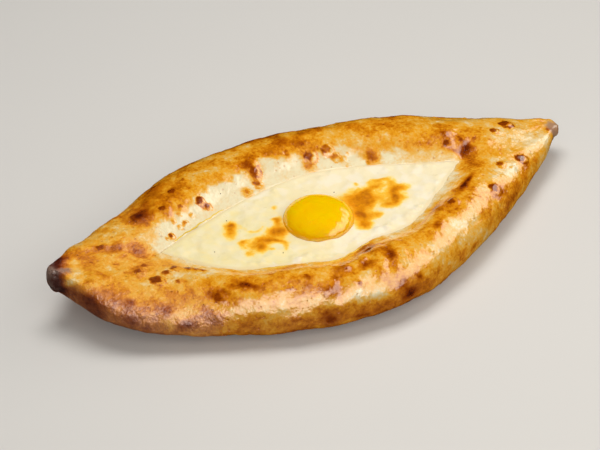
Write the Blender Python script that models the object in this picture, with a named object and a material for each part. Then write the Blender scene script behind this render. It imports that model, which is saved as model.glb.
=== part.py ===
"""Boat-shaped cheese bread: a long loaf with two pinched, raised tips and a rolled rim, a pool of
baked cheese and egg white between its rims, and one whole egg yolk set in the pool.

Frame: +X runs from the left tip to the right tip, +Y to the back of the loaf, +Z is up. The loaf
stands on its flat underside at Z = 0, and the origin is at the bottom centre of its bounding box."""

import math

import bmesh
import bpy
from mathutils import Vector

MM = 0.001
LEFT, RIGHT = -1, 1
BACK, FRONT = 1, -1
SIDES = (BACK, FRONT)

# Driving dimensions, in millimetres.
HALF_LENGTH = 153.0
NOSE_LENGTH = 5.0
# Half-widths of the loaf, from its centre line out to each side, at shares of the half length.
LOAF_SHARES = (-1.0, -0.9, -0.7, -0.45, -0.15, 0.15, 0.45, 0.7, 0.9, 1.0)
LOAF_HALF_WIDTHS = {
    BACK: (6, 22, 43, 64, 72, 68, 58, 39, 18, 7),
    FRONT: (6, 32, 48, 64, 77, 74, 54, 33, 17, 7),
}
# Half-widths of the pool, from the line between its two corners, at even steps between them.
POOL_HALF_WIDTHS = {
    BACK: (0, 10.5, 19.3, 25.2, 27, 20.4, 10.1, 0),
    FRONT: (0, 27.5, 38.2, 46, 40.4, 37.6, 19.6, 0),
}
POOL_CORNERS = {LEFT: (-95.5, 2.5), RIGHT: (85.0, 0.0)}
POOL_LEVEL = 25.0
POOL_DEPTH = 16.0
POOL_SQUARENESS = 2.6

CREST_HEIGHT = {BACK: 36.0, FRONT: 32.5}
CREST_SHARE = 0.42  # place of the rim's top between the pool's edge and the loaf's side
SIDE_SQUARENESS = 2.2
WIDEST_SHARE = 0.42  # height of the loaf's widest place, as a share of the rim's height
TIP_THICKNESS = {LEFT: 17.0, RIGHT: 10.0}
TIP_LIFT = {LEFT: 20.0, RIGHT: 12.0}
TIP_SHIFT = {LEFT: 5.0, RIGHT: 12.0}  # how far the tips bend towards the back
TAPER_START = 0.35  # share of the half length at which the rim starts to get lower
LIFT_START = 0.60  # share of the half length at which the underside leaves the table
CREASE_LENGTH = 30.0  # length over which the valley past a pool corner runs out
CREASE_DEPTH = 1.2

YOLK_RADIUS = 19.0
YOLK_HALF_HEIGHT = 9.0
YOLK_CENTRE = (-9.0, -11.0, POOL_LEVEL - 1.0)

GAP = 0.3  # between pieces that touch

# How finely each curve is divided.
TIP_STEPS = 9
POOL_STEPS = 30
SIDE_STEPS = 12
SLOPE_STEPS = 5
CAVITY_STEPS = 12
BASE_STEPS = 4
NOSE_STEPS = 3
YOLK_MERIDIANS = 36
YOLK_RINGS = 18
MERGE_DISTANCE = 0.01
SHARP_ANGLE = math.radians(40)


def curve(places, values, place):
    """A smooth curve through values at uneven places, read at one place."""
    last = len(places) - 1
    left = max(k for k in range(last) if k == 0 or places[k] <= place)

    def slope(k):
        before, after = max(k - 1, 0), min(k + 1, last)
        return (values[after] - values[before]) / (places[after] - places[before])

    width = places[left + 1] - places[left]
    step = min(max((place - places[left]) / width, 0.0), 1.0)
    cube, square = step**3, step**2
    return (
        values[left] * (2 * cube - 3 * square + 1)
        + values[left + 1] * (3 * square - 2 * cube)
        + slope(left) * width * (cube - 2 * square + step)
        + slope(left + 1) * width * (cube - square)
    )


def ramp(share, start, power):
    """0 up to start, then rising to 1 where share is 1."""
    return (max(share - start, 0.0) / (1.0 - start)) ** power


def end_of(x):
    return LEFT if x < 0 else RIGHT


def centre_y(x):
    return TIP_SHIFT[end_of(x)] * ramp(abs(x) / HALF_LENGTH, TAPER_START, 2)


def base_z(x):
    return TIP_LIFT[end_of(x)] * ramp(abs(x) / HALF_LENGTH, LIFT_START, 1.8)


def crest_z(x, side):
    tip = TIP_THICKNESS[end_of(x)]
    return base_z(x) + tip + (CREST_HEIGHT[side] - tip) * (1 - ramp(abs(x) / HALF_LENGTH, TAPER_START, 2.2))


def side_y(x, side):
    return centre_y(x) + side * curve(LOAF_SHARES, LOAF_HALF_WIDTHS[side], x / HALF_LENGTH)


def pool_share(x):
    (left_x, _), (right_x, _) = POOL_CORNERS[LEFT], POOL_CORNERS[RIGHT]
    return min(max((x - left_x) / (right_x - left_x), 0.0), 1.0)


def pool_y(x, side):
    """The pool's edge; beyond the pool, both edges are the one line of the crease."""
    share = pool_share(x)
    (_, left_y), (_, right_y) = POOL_CORNERS[LEFT], POOL_CORNERS[RIGHT]
    steps = [k / (len(POOL_HALF_WIDTHS[side]) - 1) for k in range(len(POOL_HALF_WIDTHS[side]))]
    middle = left_y * (1 - share) + right_y * share
    corner_x = POOL_CORNERS[end_of(x)][0]
    past = max(abs(x) - abs(corner_x), 0.0) / (HALF_LENGTH - abs(corner_x))
    middle += (centre_y(end_of(x) * HALF_LENGTH) - middle) * past**1.5
    return middle + side * max(curve(steps, POOL_HALF_WIDTHS[side], share), 0.0)


def crest_y(x, side):
    return pool_y(x, side) + CREST_SHARE * (side_y(x, side) - pool_y(x, side))


def valley_z(x):
    """The pool's level, rising past each corner to a shallow crease between the rims."""
    corner_x = POOL_CORNERS[end_of(x)][0]
    past = min(max(abs(x) - abs(corner_x), 0.0) / CREASE_LENGTH, 1.0)
    rise = min(crest_z(x, BACK), crest_z(x, FRONT)) - CREASE_DEPTH - POOL_LEVEL
    return POOL_LEVEL + rise * math.sin(past * math.pi / 2)


def rounded(angle, squareness):
    """A point of the unit superellipse."""
    across, up = math.cos(angle), math.sin(angle)
    power = 2 / squareness
    return math.copysign(abs(across) ** power, across), math.copysign(abs(up) ** power, up)


def outer_side(x, side):
    """From the flat underside, round the loaf's side, to the top of its rim."""
    low, top = base_z(x), crest_z(x, side)
    widest = low + WIDEST_SHARE * (top - low)
    inner, outer = crest_y(x, side), side_y(x, side)
    points = []
    for k in range(SIDE_STEPS + 1):
        across, up = rounded(math.pi * (k / SIDE_STEPS - 0.5), SIDE_SQUARENESS)
        reach = top - widest if up > 0 else widest - low
        points.append((inner + (outer - inner) * across, widest + reach * up))
    return points


def inner_slope(x, side):
    """Down from the top of the rim to the pool's edge, both ends left out."""
    top, edge = (crest_y(x, side), crest_z(x, side)), (pool_y(x, side), valley_z(x))
    points = []
    for k in range(1, SLOPE_STEPS):
        share = k / SLOPE_STEPS
        drop = 1 - math.cos(share * math.pi / 2) ** 1.3
        points.append((top[0] + (edge[0] - top[0]) * share, top[1] + (edge[1] - top[1]) * drop))
    return points


def cavity(x, shrink=0.0):
    """The hollow under the pool, from its back edge to its front edge."""
    back, front = pool_y(x, BACK) - shrink, pool_y(x, FRONT) + shrink
    middle, half = (back + front) / 2, (back - front) / 2
    full = sum(max(POOL_HALF_WIDTHS[side]) for side in SIDES) / 2
    deep = POOL_DEPTH * min(max(half, 0.0) / full, 1.0) ** 0.6 - shrink
    points = []
    for k in range(CAVITY_STEPS + 1):
        across, down = rounded(math.pi * k / CAVITY_STEPS, POOL_SQUARENESS)
        points.append((middle + half * across, valley_z(x) - deep * abs(down)))
    return points


def crust_section(x):
    """One closed section of the loaf, the same number of points at every station."""
    back, front = outer_side(x, BACK), outer_side(x, FRONT)
    base = []
    for k in range(1, BASE_STEPS):
        share = k / BASE_STEPS
        base.append((front[0][0] + (back[0][0] - front[0][0]) * share, base_z(x)))
    hollow = inner_slope(x, BACK) + cavity(x) + inner_slope(x, FRONT)[::-1]
    return base + back + hollow + front[::-1]


def spaced(start, end, steps, bias):
    """Places from start to end, closer together at both ends or at the start only."""
    places = []
    for k in range(steps + 1):
        share = k / steps
        turn = math.pi if bias == "both" else math.pi / 2
        eased = (1 - math.cos(turn * share)) / (1 - math.cos(turn))
        places.append(start + (end - start) * (0.6 * eased + 0.4 * share))
    return places


def new_object(name, solid, material, location=(0.0, 0.0, 0.0)):
    """An object from a bmesh in millimetres, smooth but for edges sharper than SHARP_ANGLE."""
    bmesh.ops.scale(solid, vec=(MM, MM, MM), verts=solid.verts)
    mesh = bpy.data.meshes.new(name)
    solid.to_mesh(mesh)
    solid.free()
    mesh.materials.append(material)
    mesh.shade_smooth()
    mesh.set_sharp_from_angle(angle=SHARP_ANGLE)
    thing = bpy.data.objects.new(name, mesh)
    thing.location = Vector(location) * MM
    bpy.context.scene.collection.objects.link(thing)
    return thing


def loft(stations, sections):
    """A closed solid through the sections; the first and last section are one point each.

    Where the pool's two edges are one line, its section points fall together and are merged."""
    solid = bmesh.new()
    count = len(sections[1])
    rings = []
    for x, section in zip(stations, sections):
        ring = [solid.verts.new((x, y, z)) for y, z in section]
        rings.append(ring * count if len(ring) == 1 else ring)
    for first, second in zip(rings, rings[1:]):
        for k in range(count):
            after = (k + 1) % count
            corners = (first[k], second[k], second[after], first[after])
            solid.faces.new(dict.fromkeys(corners))
    bmesh.ops.remove_doubles(solid, verts=solid.verts, dist=MERGE_DISTANCE)
    bmesh.ops.dissolve_degenerate(solid, dist=MERGE_DISTANCE, edges=solid.edges)
    bmesh.ops.triangulate(solid, faces=[f for f in solid.faces if len(f.verts) > 4])
    bmesh.ops.recalc_face_normals(solid, faces=solid.faces)
    return solid


def nose(x, section, end):
    """Rings that round off one tip, ending in a single point."""
    ys, zs = [y for y, _ in section], [z for _, z in section]
    middle = ((min(ys) + max(ys)) / 2, (min(zs) + max(zs)) / 2)
    stations, sections = [], []
    for k in range(1, NOSE_STEPS):
        angle = math.pi / 2 * k / NOSE_STEPS
        size = math.cos(angle)
        ring = []
        for y, z in section:
            ring.append((middle[0] + (y - middle[0]) * size, middle[1] + (z - middle[1]) * size))
        stations.append(x + end * NOSE_LENGTH * math.sin(angle))
        sections.append(ring)
    return stations + [x + end * NOSE_LENGTH], sections + [[middle]]


def make_crust(material):
    left_x, right_x = POOL_CORNERS[LEFT][0], POOL_CORNERS[RIGHT][0]
    stations = spaced(-HALF_LENGTH, left_x, TIP_STEPS, "start")[:-1]
    stations += spaced(left_x, right_x, POOL_STEPS, "both")
    stations += spaced(HALF_LENGTH, right_x, TIP_STEPS, "start")[-2::-1]
    sections = [crust_section(x) for x in stations]
    left_nose, left_rings = nose(-HALF_LENGTH, sections[0], LEFT)
    right_nose, right_rings = nose(HALF_LENGTH, sections[-1], RIGHT)
    stations = left_nose[::-1] + stations + right_nose
    sections = left_rings[::-1] + sections + right_rings
    return new_object("crust", loft(stations, sections), material)


def make_filling(material):
    left_x, right_x = POOL_CORNERS[LEFT][0], POOL_CORNERS[RIGHT][0]
    stations = spaced(left_x + 3 * GAP, right_x - 3 * GAP, POOL_STEPS, "both")
    sections = []
    for x in stations:
        hollow = cavity(x, GAP)
        back, front = hollow[0], hollow[-1]
        top = []
        for k in range(1, CAVITY_STEPS):
            top.append((front[0] + (back[0] - front[0]) * k / CAVITY_STEPS, POOL_LEVEL))
        sections.append(hollow + top)
    ends = []
    for x, section in ((left_x + 2 * GAP, sections[0]), (right_x - 2 * GAP, sections[-1])):
        middle_y = sum(y for y, _ in section) / len(section)
        middle_z = (min(z for _, z in section) + POOL_LEVEL) / 2
        ends.append((x, [(middle_y, middle_z)]))
    stations = [ends[0][0]] + stations + [ends[1][0]]
    sections = [ends[0][1]] + sections + [ends[1][1]]
    return new_object("filling", loft(stations, sections), material)


def make_ellipsoid(name, grow, material):
    """The yolk's form, grown on every side."""
    radius, half_height = YOLK_RADIUS + grow, YOLK_HALF_HEIGHT + grow
    ball = bmesh.new()
    bmesh.ops.create_uvsphere(ball, u_segments=YOLK_MERIDIANS, v_segments=YOLK_RINGS, radius=1.0)
    bmesh.ops.scale(ball, vec=(radius, radius, half_height), verts=ball.verts)
    return new_object(name, ball, material, location=YOLK_CENTRE)


def cut(target, cutter):
    """Cut the cutter's form out of target, then take the cutter away."""
    cutter.hide_render = True
    cutter.display_type = "WIRE"
    modifier = target.modifiers.new("hollow", "BOOLEAN")
    modifier.operation = "DIFFERENCE"
    modifier.solver = "EXACT"
    modifier.object = cutter
    bpy.context.view_layer.objects.active = target
    bpy.ops.object.modifier_apply(modifier=modifier.name)
    bpy.data.objects.remove(cutter, do_unlink=True)


def new_material(name, colour, roughness):
    material = bpy.data.materials.new(name)
    material.use_nodes = True
    shader = material.node_tree.nodes["Principled BSDF"]
    shader.inputs["Base Color"].default_value = (*colour, 1.0)
    shader.inputs["Roughness"].default_value = roughness
    shader.inputs["Metallic"].default_value = 0.0
    return material


def stand_at_origin(things):
    """Move the pieces so that the origin is the bottom centre of their bounding box."""
    bpy.context.view_layer.update()
    corners = [thing.matrix_world @ vert.co for thing in things for vert in thing.data.vertices]
    low = [min(corner[axis] for corner in corners) for axis in range(3)]
    high = [max(corner[axis] for corner in corners) for axis in range(3)]
    for thing in things:
        thing.location -= Vector(((low[0] + high[0]) / 2, (low[1] + high[1]) / 2, low[2]))


def main():
    for thing in list(bpy.data.objects):
        bpy.data.objects.remove(thing, do_unlink=True)
    crust = make_crust(new_material("golden crust", (0.72, 0.35, 0.08), 0.45))
    filling = make_filling(new_material("baked cheese", (0.90, 0.85, 0.66), 0.35))
    yolk_look = new_material("egg yolk", (0.95, 0.50, 0.02), 0.15)
    yolk = make_ellipsoid("yolk", 0.0, yolk_look)
    cut(filling, make_ellipsoid("yolk hollow", GAP, yolk_look))
    stand_at_origin([crust, filling, yolk])


main()
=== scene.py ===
"""Cheese Boat Bread: the baked look of a long, boat-shaped cheese bread with an egg in it.

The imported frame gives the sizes. Each operator makes one piece around it: the crust with its
blisters and folds, the baked cheese, the egg yolk, the melted butter along the cheese's edge,
the loose crumbs, and the stage with its camera and lights. Lengths are millimetres unless a
name or a property's unit says metres; the loaf's +X runs to its right tip and +Y to its back."""

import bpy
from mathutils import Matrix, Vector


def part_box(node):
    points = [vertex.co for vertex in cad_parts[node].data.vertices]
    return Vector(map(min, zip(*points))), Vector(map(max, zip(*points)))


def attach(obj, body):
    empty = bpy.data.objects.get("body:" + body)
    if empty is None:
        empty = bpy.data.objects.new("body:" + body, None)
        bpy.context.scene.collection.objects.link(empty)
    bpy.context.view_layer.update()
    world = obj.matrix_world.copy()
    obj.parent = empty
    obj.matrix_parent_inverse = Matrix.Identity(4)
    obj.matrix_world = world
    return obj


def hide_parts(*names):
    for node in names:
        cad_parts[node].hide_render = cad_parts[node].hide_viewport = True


bl_info = {
    "name": "Cheese Boat Bread",
    "version": (1, 0, 0),
    "blender": (4, 5, 0),
    "location": "View3D > Sidebar > Bread",
    "description": "Builds a baked boat-shaped cheese bread with an egg around its packed frame",
    "category": "Add Mesh",
}

import math
from functools import partialmethod

import bmesh
import bpy
import numpy as np
from bpy.props import FloatProperty, FloatVectorProperty, PointerProperty
from mathutils import Vector
from mathutils.bvhtree import BVHTree

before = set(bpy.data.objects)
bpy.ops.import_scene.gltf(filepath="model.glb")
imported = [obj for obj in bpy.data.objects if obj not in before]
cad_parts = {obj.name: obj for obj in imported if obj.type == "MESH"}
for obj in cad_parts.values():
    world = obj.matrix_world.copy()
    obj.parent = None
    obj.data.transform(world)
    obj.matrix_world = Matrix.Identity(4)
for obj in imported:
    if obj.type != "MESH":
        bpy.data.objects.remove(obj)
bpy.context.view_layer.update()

MM = 0.001
LEFT, RIGHT = -1, 1
BACK, FRONT = 1, -1
RAY_START = 0.2  # metres above the table, well over the loaf
WELD, SPECK = 1e-6, 1e-7  # metres: points this close are one, and edges this short go

# ---------------------------------------------------------------------------------------------
# The loaf's form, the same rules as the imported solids, in millimetres.

YOLK_CENTRE = (-9.0, -11.0, 24.0)
YOLK_BOX = [Vector(corner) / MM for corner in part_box("yolk")]
SHIFT = (YOLK_BOX[0] + YOLK_BOX[1]) / 2 - Vector(YOLK_CENTRE)
YOLK_MIDDLE = (YOLK_BOX[0] + YOLK_BOX[1]) / 2
YOLK_RADIUS = (YOLK_BOX[1].x - YOLK_BOX[0].x) / 2
YOLK_TOP = YOLK_BOX[1].z

NOSE_LENGTH = 5.0
HALF_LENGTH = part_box("crust")[1][0] / MM - NOSE_LENGTH
LOAF_SHARES = (-1.0, -0.9, -0.7, -0.45, -0.15, 0.15, 0.45, 0.7, 0.9, 1.0)
LOAF_HALF_WIDTHS = {
    BACK: (6, 22, 43, 64, 72, 68, 58, 39, 18, 7),
    FRONT: (6, 32, 48, 64, 77, 74, 54, 33, 17, 7),
}
POOL_HALF_WIDTHS = {
    BACK: (0, 10.5, 19.3, 25.2, 27, 20.4, 10.1, 0),
    FRONT: (0, 27.5, 38.2, 46, 40.4, 37.6, 19.6, 0),
}
POOL_CORNERS = {LEFT: (-95.5, 2.5), RIGHT: (85.0, 0.0)}
POOL_LEVEL = 25.0
POOL_DEPTH = 16.0
POOL_SQUARENESS = 2.6
CREST_HEIGHT = {BACK: 36.0, FRONT: 32.5}
CREST_SHARE = 0.42
SIDE_SQUARENESS = 2.2
WIDEST_SHARE = 0.42
TIP_THICKNESS = {LEFT: 17.0, RIGHT: 10.0}
TIP_LIFT = {LEFT: 20.0, RIGHT: 12.0}
TIP_SHIFT = {LEFT: 5.0, RIGHT: 12.0}
TAPER_START = 0.35
LIFT_START = 0.60
SHIFT_POWER, LIFT_POWER, TAPER_POWER = 2, 1.8, 2.2
CREASE_LENGTH = 30.0
CREASE_DEPTH = 1.2
CREASE_POWER = 1.5
HOLLOW_POWER = 0.6
SLOPE_POWER, BRIDGE_POWER = 1.3, 1.5
SEAM_HEALED = {LEFT: 0.75, RIGHT: 1.0}  # how far the seam past each corner has closed in the oven
SEAM_HEALING = (2.0, 20.0)  # past the corner, where it starts to close and is closed


def curve(places, values, place):
    """A smooth curve through values at uneven places, read at an array of places."""
    places, values = np.asarray(places, float), np.asarray(values, float)
    slopes = np.empty(len(places))
    slopes[1:-1] = (values[2:] - values[:-2]) / (places[2:] - places[:-2])
    slopes[0] = (values[1] - values[0]) / (places[1] - places[0])
    slopes[-1] = (values[-1] - values[-2]) / (places[-1] - places[-2])
    left = np.clip(np.searchsorted(places, place, side="right") - 1, 0, len(places) - 2)
    width = places[left + 1] - places[left]
    step = np.clip((place - places[left]) / width, 0, 1)
    cube, square = step**3, step**2
    return (
        values[left] * (2 * cube - 3 * square + 1)
        + values[left + 1] * (3 * square - 2 * cube)
        + slopes[left] * width * (cube - 2 * square + step)
        + slopes[left + 1] * width * (cube - square)
    )


def ramp(share, start, power):
    """0 up to start, then rising to 1 where share is 1."""
    return (np.maximum(share - start, 0.0) / (1.0 - start)) ** power


def smooth(value, low, high):
    """0 at low, 1 at high, with soft ends; high may lie below low."""
    share = np.clip((value - low) / (high - low), 0, 1)
    return share * share * (3 - 2 * share)


def by_end(x, values):
    """The value of the end that each x lies nearer to."""
    return np.where(x < 0, values[LEFT], values[RIGHT])


def centre_y(x):
    return by_end(x, TIP_SHIFT) * ramp(np.abs(x) / HALF_LENGTH, TAPER_START, SHIFT_POWER)


def base_z(x):
    return by_end(x, TIP_LIFT) * ramp(np.abs(x) / HALF_LENGTH, LIFT_START, LIFT_POWER)


def crest_z(x, side):
    tip = by_end(x, TIP_THICKNESS)
    taper = 1 - ramp(np.abs(x) / HALF_LENGTH, TAPER_START, TAPER_POWER)
    return base_z(x) + tip + (CREST_HEIGHT[side] - tip) * taper


def side_y(x, side):
    return centre_y(x) + side * curve(LOAF_SHARES, LOAF_HALF_WIDTHS[side], x / HALF_LENGTH)


def past_corner(x):
    """How far x lies beyond the pool's nearest corner, in millimetres."""
    corners = {end: abs(POOL_CORNERS[end][0]) for end in (LEFT, RIGHT)}
    return np.maximum(np.abs(x) - by_end(x, corners), 0.0)


def pool_y(x, side):
    """The pool's edge; beyond the pool, both edges are the one line of the crease."""
    (left_x, left_y), (right_x, right_y) = POOL_CORNERS[LEFT], POOL_CORNERS[RIGHT]
    share = np.clip((x - left_x) / (right_x - left_x), 0, 1)
    steps = np.linspace(0, 1, len(POOL_HALF_WIDTHS[side]))
    middle = left_y * (1 - share) + right_y * share
    beyond = by_end(x, {LEFT: HALF_LENGTH + left_x, RIGHT: HALF_LENGTH - right_x})
    tip_y = by_end(x, TIP_SHIFT)
    middle = middle + (tip_y - middle) * (past_corner(x) / beyond) ** CREASE_POWER
    return middle + side * np.maximum(curve(steps, POOL_HALF_WIDTHS[side], share), 0)


def crest_y(x, side):
    return pool_y(x, side) + CREST_SHARE * (side_y(x, side) - pool_y(x, side))


def valley_z(x):
    """The pool's level, rising past each corner to a shallow crease between the rims."""
    past = np.minimum(past_corner(x) / CREASE_LENGTH, 1.0)
    rise = np.minimum(crest_z(x, BACK), crest_z(x, FRONT)) - CREASE_DEPTH - POOL_LEVEL
    return POOL_LEVEL + rise * np.sin(past * math.pi / 2)


def pool_half_width(x):
    return (pool_y(x, BACK) - pool_y(x, FRONT)) / 2


def hollow_depth(x):
    full = sum(max(POOL_HALF_WIDTHS[side]) for side in (BACK, FRONT)) / 2
    return POOL_DEPTH * np.clip(pool_half_width(x) / full, 0, 1) ** HOLLOW_POWER


def rounded(angle, squareness):
    """A point of a rounded square, one unit from its middle, at an angle."""
    across, up = np.cos(angle), np.sin(angle)
    power = 2 / squareness
    return np.sign(across) * np.abs(across) ** power, np.sign(up) * np.abs(up) ** power


# A section is cut into zones: its place number runs from 4 in the middle of the underside, 3
# where the side leaves the table, 2 at the widest place, 1 on top of the rim, 0 at the pool's
# edge and -1 in the middle of the hollow under the cheese.
STATIONS = 440
NOSE_RINGS = 10
BASE_POINTS = 3
SIDE_POINTS = 63
SLOPE_POINTS = 24
HOLLOW_POINTS = 5


def half_section(x, side):
    """Points of one half of every section at stations x: arrays of y, z and place number."""
    rows = []
    low, top = base_z(x), crest_z(x, side)
    widest = low + WIDEST_SHARE * (top - low)
    crest, outer, edge = crest_y(x, side), side_y(x, side), pool_y(x, side)
    middle = (crest_y(x, BACK) + crest_y(x, FRONT)) / 2
    for share in np.linspace(0, 1, BASE_POINTS + 2)[1:-1]:
        rows.append((middle + (crest - middle) * share, low, 4 - share))
    for angle in np.linspace(-math.pi / 2, math.pi / 2, SIDE_POINTS):
        across, up = rounded(angle, SIDE_SQUARENESS)
        reach = top - widest if up > 0 else widest - low
        rows.append((crest + (outer - crest) * across, widest + reach * up, 2 - angle * 2 / math.pi))
    crests = (crest_z(x, BACK) + crest_z(x, FRONT)) / 2
    healed = by_end(x, SEAM_HEALED) * smooth(past_corner(x), *SEAM_HEALING)
    floor = valley_z(x) + (crests - valley_z(x)) * healed
    for share in np.linspace(0, 1, SLOPE_POINTS + 2)[1:-1]:
        drop = 1 - math.cos(share * math.pi / 2) ** SLOPE_POWER
        z = top + (valley_z(x) - top) * drop
        bridge = top + (crests - top) * share**BRIDGE_POWER
        rows.append((crest + (edge - crest) * share, z + (bridge - z) * healed, 1 - share))
    half, deep = pool_half_width(x), hollow_depth(x)
    centre = (pool_y(x, BACK) + pool_y(x, FRONT)) / 2
    for k in range(HOLLOW_POINTS):
        across, down = rounded(math.pi / 2 * k / HOLLOW_POINTS, POOL_SQUARENESS)
        rows.append((centre + side * half * across, floor - deep * down, -k / HOLLOW_POINTS))
    ys = np.stack([np.broadcast_to(row[0], x.shape) for row in rows], 1)
    zs = np.stack([np.broadcast_to(row[1], x.shape) for row in rows], 1)
    return ys, zs, np.array([row[2] for row in rows])


def in_frame(xs, ys, zs):
    """Points of the form, moved to where the frame has the loaf."""
    return np.stack([xs + SHIFT.x, ys + SHIFT.y, zs + SHIFT.z], -1)


def loaf_grid():
    """The whole loaf's rings: coordinates, place numbers and sides, tip to tip."""
    x = np.linspace(-HALF_LENGTH, HALF_LENGTH, STATIONS)
    back_y, back_z, places = half_section(x, BACK)
    front_y, front_z, _ = half_section(x, FRONT)
    middle = (crest_y(x, BACK) + crest_y(x, FRONT))[:, None] / 2
    floor_z = back_z[:, -HOLLOW_POINTS, None] - hollow_depth(x)[:, None]
    centre = (pool_y(x, BACK) + pool_y(x, FRONT))[:, None] / 2
    ys = np.concatenate([middle, back_y, centre, front_y[:, ::-1]], 1)
    zs = np.concatenate([base_z(x)[:, None], back_z, floor_z, front_z[:, ::-1]], 1)
    place = np.concatenate([[4], places, [-1], places[::-1]])
    side = np.concatenate([[BACK], np.full(len(places), BACK), [BACK], np.full(len(places), FRONT)])
    xs = np.repeat(x[:, None], ys.shape[1], 1)
    for end, ring in ((LEFT, 0), (RIGHT, -1)):
        mid_y = (ys[ring].min() + ys[ring].max()) / 2
        mid_z = (zs[ring].min() + zs[ring].max()) / 2
        angles = np.linspace(0, math.pi / 2, NOSE_RINGS + 2)[1:]
        size = np.cos(angles)[:, None]
        new_y = mid_y + (ys[ring] - mid_y) * size
        new_z = mid_z + (zs[ring] - mid_z) * size
        new_x = end * (HALF_LENGTH + NOSE_LENGTH * np.sin(angles))[:, None] + new_y * 0
        pairs = zip((new_x, new_y, new_z), (xs, ys, zs))
        grids = [(new[::-1], old) if end == LEFT else (old, new) for new, old in pairs]
        xs, ys, zs = (np.concatenate(grid) for grid in grids)
    return in_frame(xs, ys, zs), place, side


# ---------------------------------------------------------------------------------------------
# Small words for meshes and node trees.


def plain_mesh(name, places, edges=(), faces=(), attributes=None):
    """A mesh from places in metres, with the named numbers stored on its points."""
    mesh = bpy.data.meshes.new(name)
    mesh.from_pydata(places, edges, faces)
    for key, values in (attributes or {}).items():
        layer = mesh.attributes.new(key, "FLOAT", "POINT")
        layer.data.foreach_set("value", np.asarray(values, np.float32).ravel())
    return mesh


def mesh_from_grid(name, points, attributes):
    """A closed mesh in metres from rings of points in millimetres, with both ends capped."""
    rows, columns = points.shape[:2]
    index = np.arange(rows * columns).reshape(rows, columns)
    index = np.concatenate([index, index[:, :1]], 1)
    faces = np.stack([index[:-1, :-1], index[:-1, 1:], index[1:, 1:], index[1:, :-1]], 2).reshape(-1, 4)
    places = (points.reshape(-1, 3) * MM).tolist()
    mesh = plain_mesh(name, places, faces=faces.tolist(), attributes=attributes)
    work = bmesh.new()
    work.from_mesh(mesh)
    bmesh.ops.remove_doubles(work, verts=work.verts, dist=WELD)
    bmesh.ops.dissolve_degenerate(work, dist=SPECK, edges=work.edges)
    bmesh.ops.holes_fill(work, edges=[edge for edge in work.edges if edge.is_boundary], sides=0)
    bmesh.ops.recalc_face_normals(work, faces=work.faces)
    work.to_mesh(mesh)
    work.free()
    mesh.shade_smooth()
    return mesh


def new_object(name, content):
    thing = bpy.data.objects.new(name, content)
    bpy.context.scene.collection.objects.link(thing)
    return thing


def place_piece(name, mesh, node=None):
    """The finished piece, riding on the part's one body; the node it takes the place of, if one is named,
    is hidden.
    """
    piece = new_object(name, mesh)
    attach(piece, "root")
    if node:
        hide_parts(node)


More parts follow.
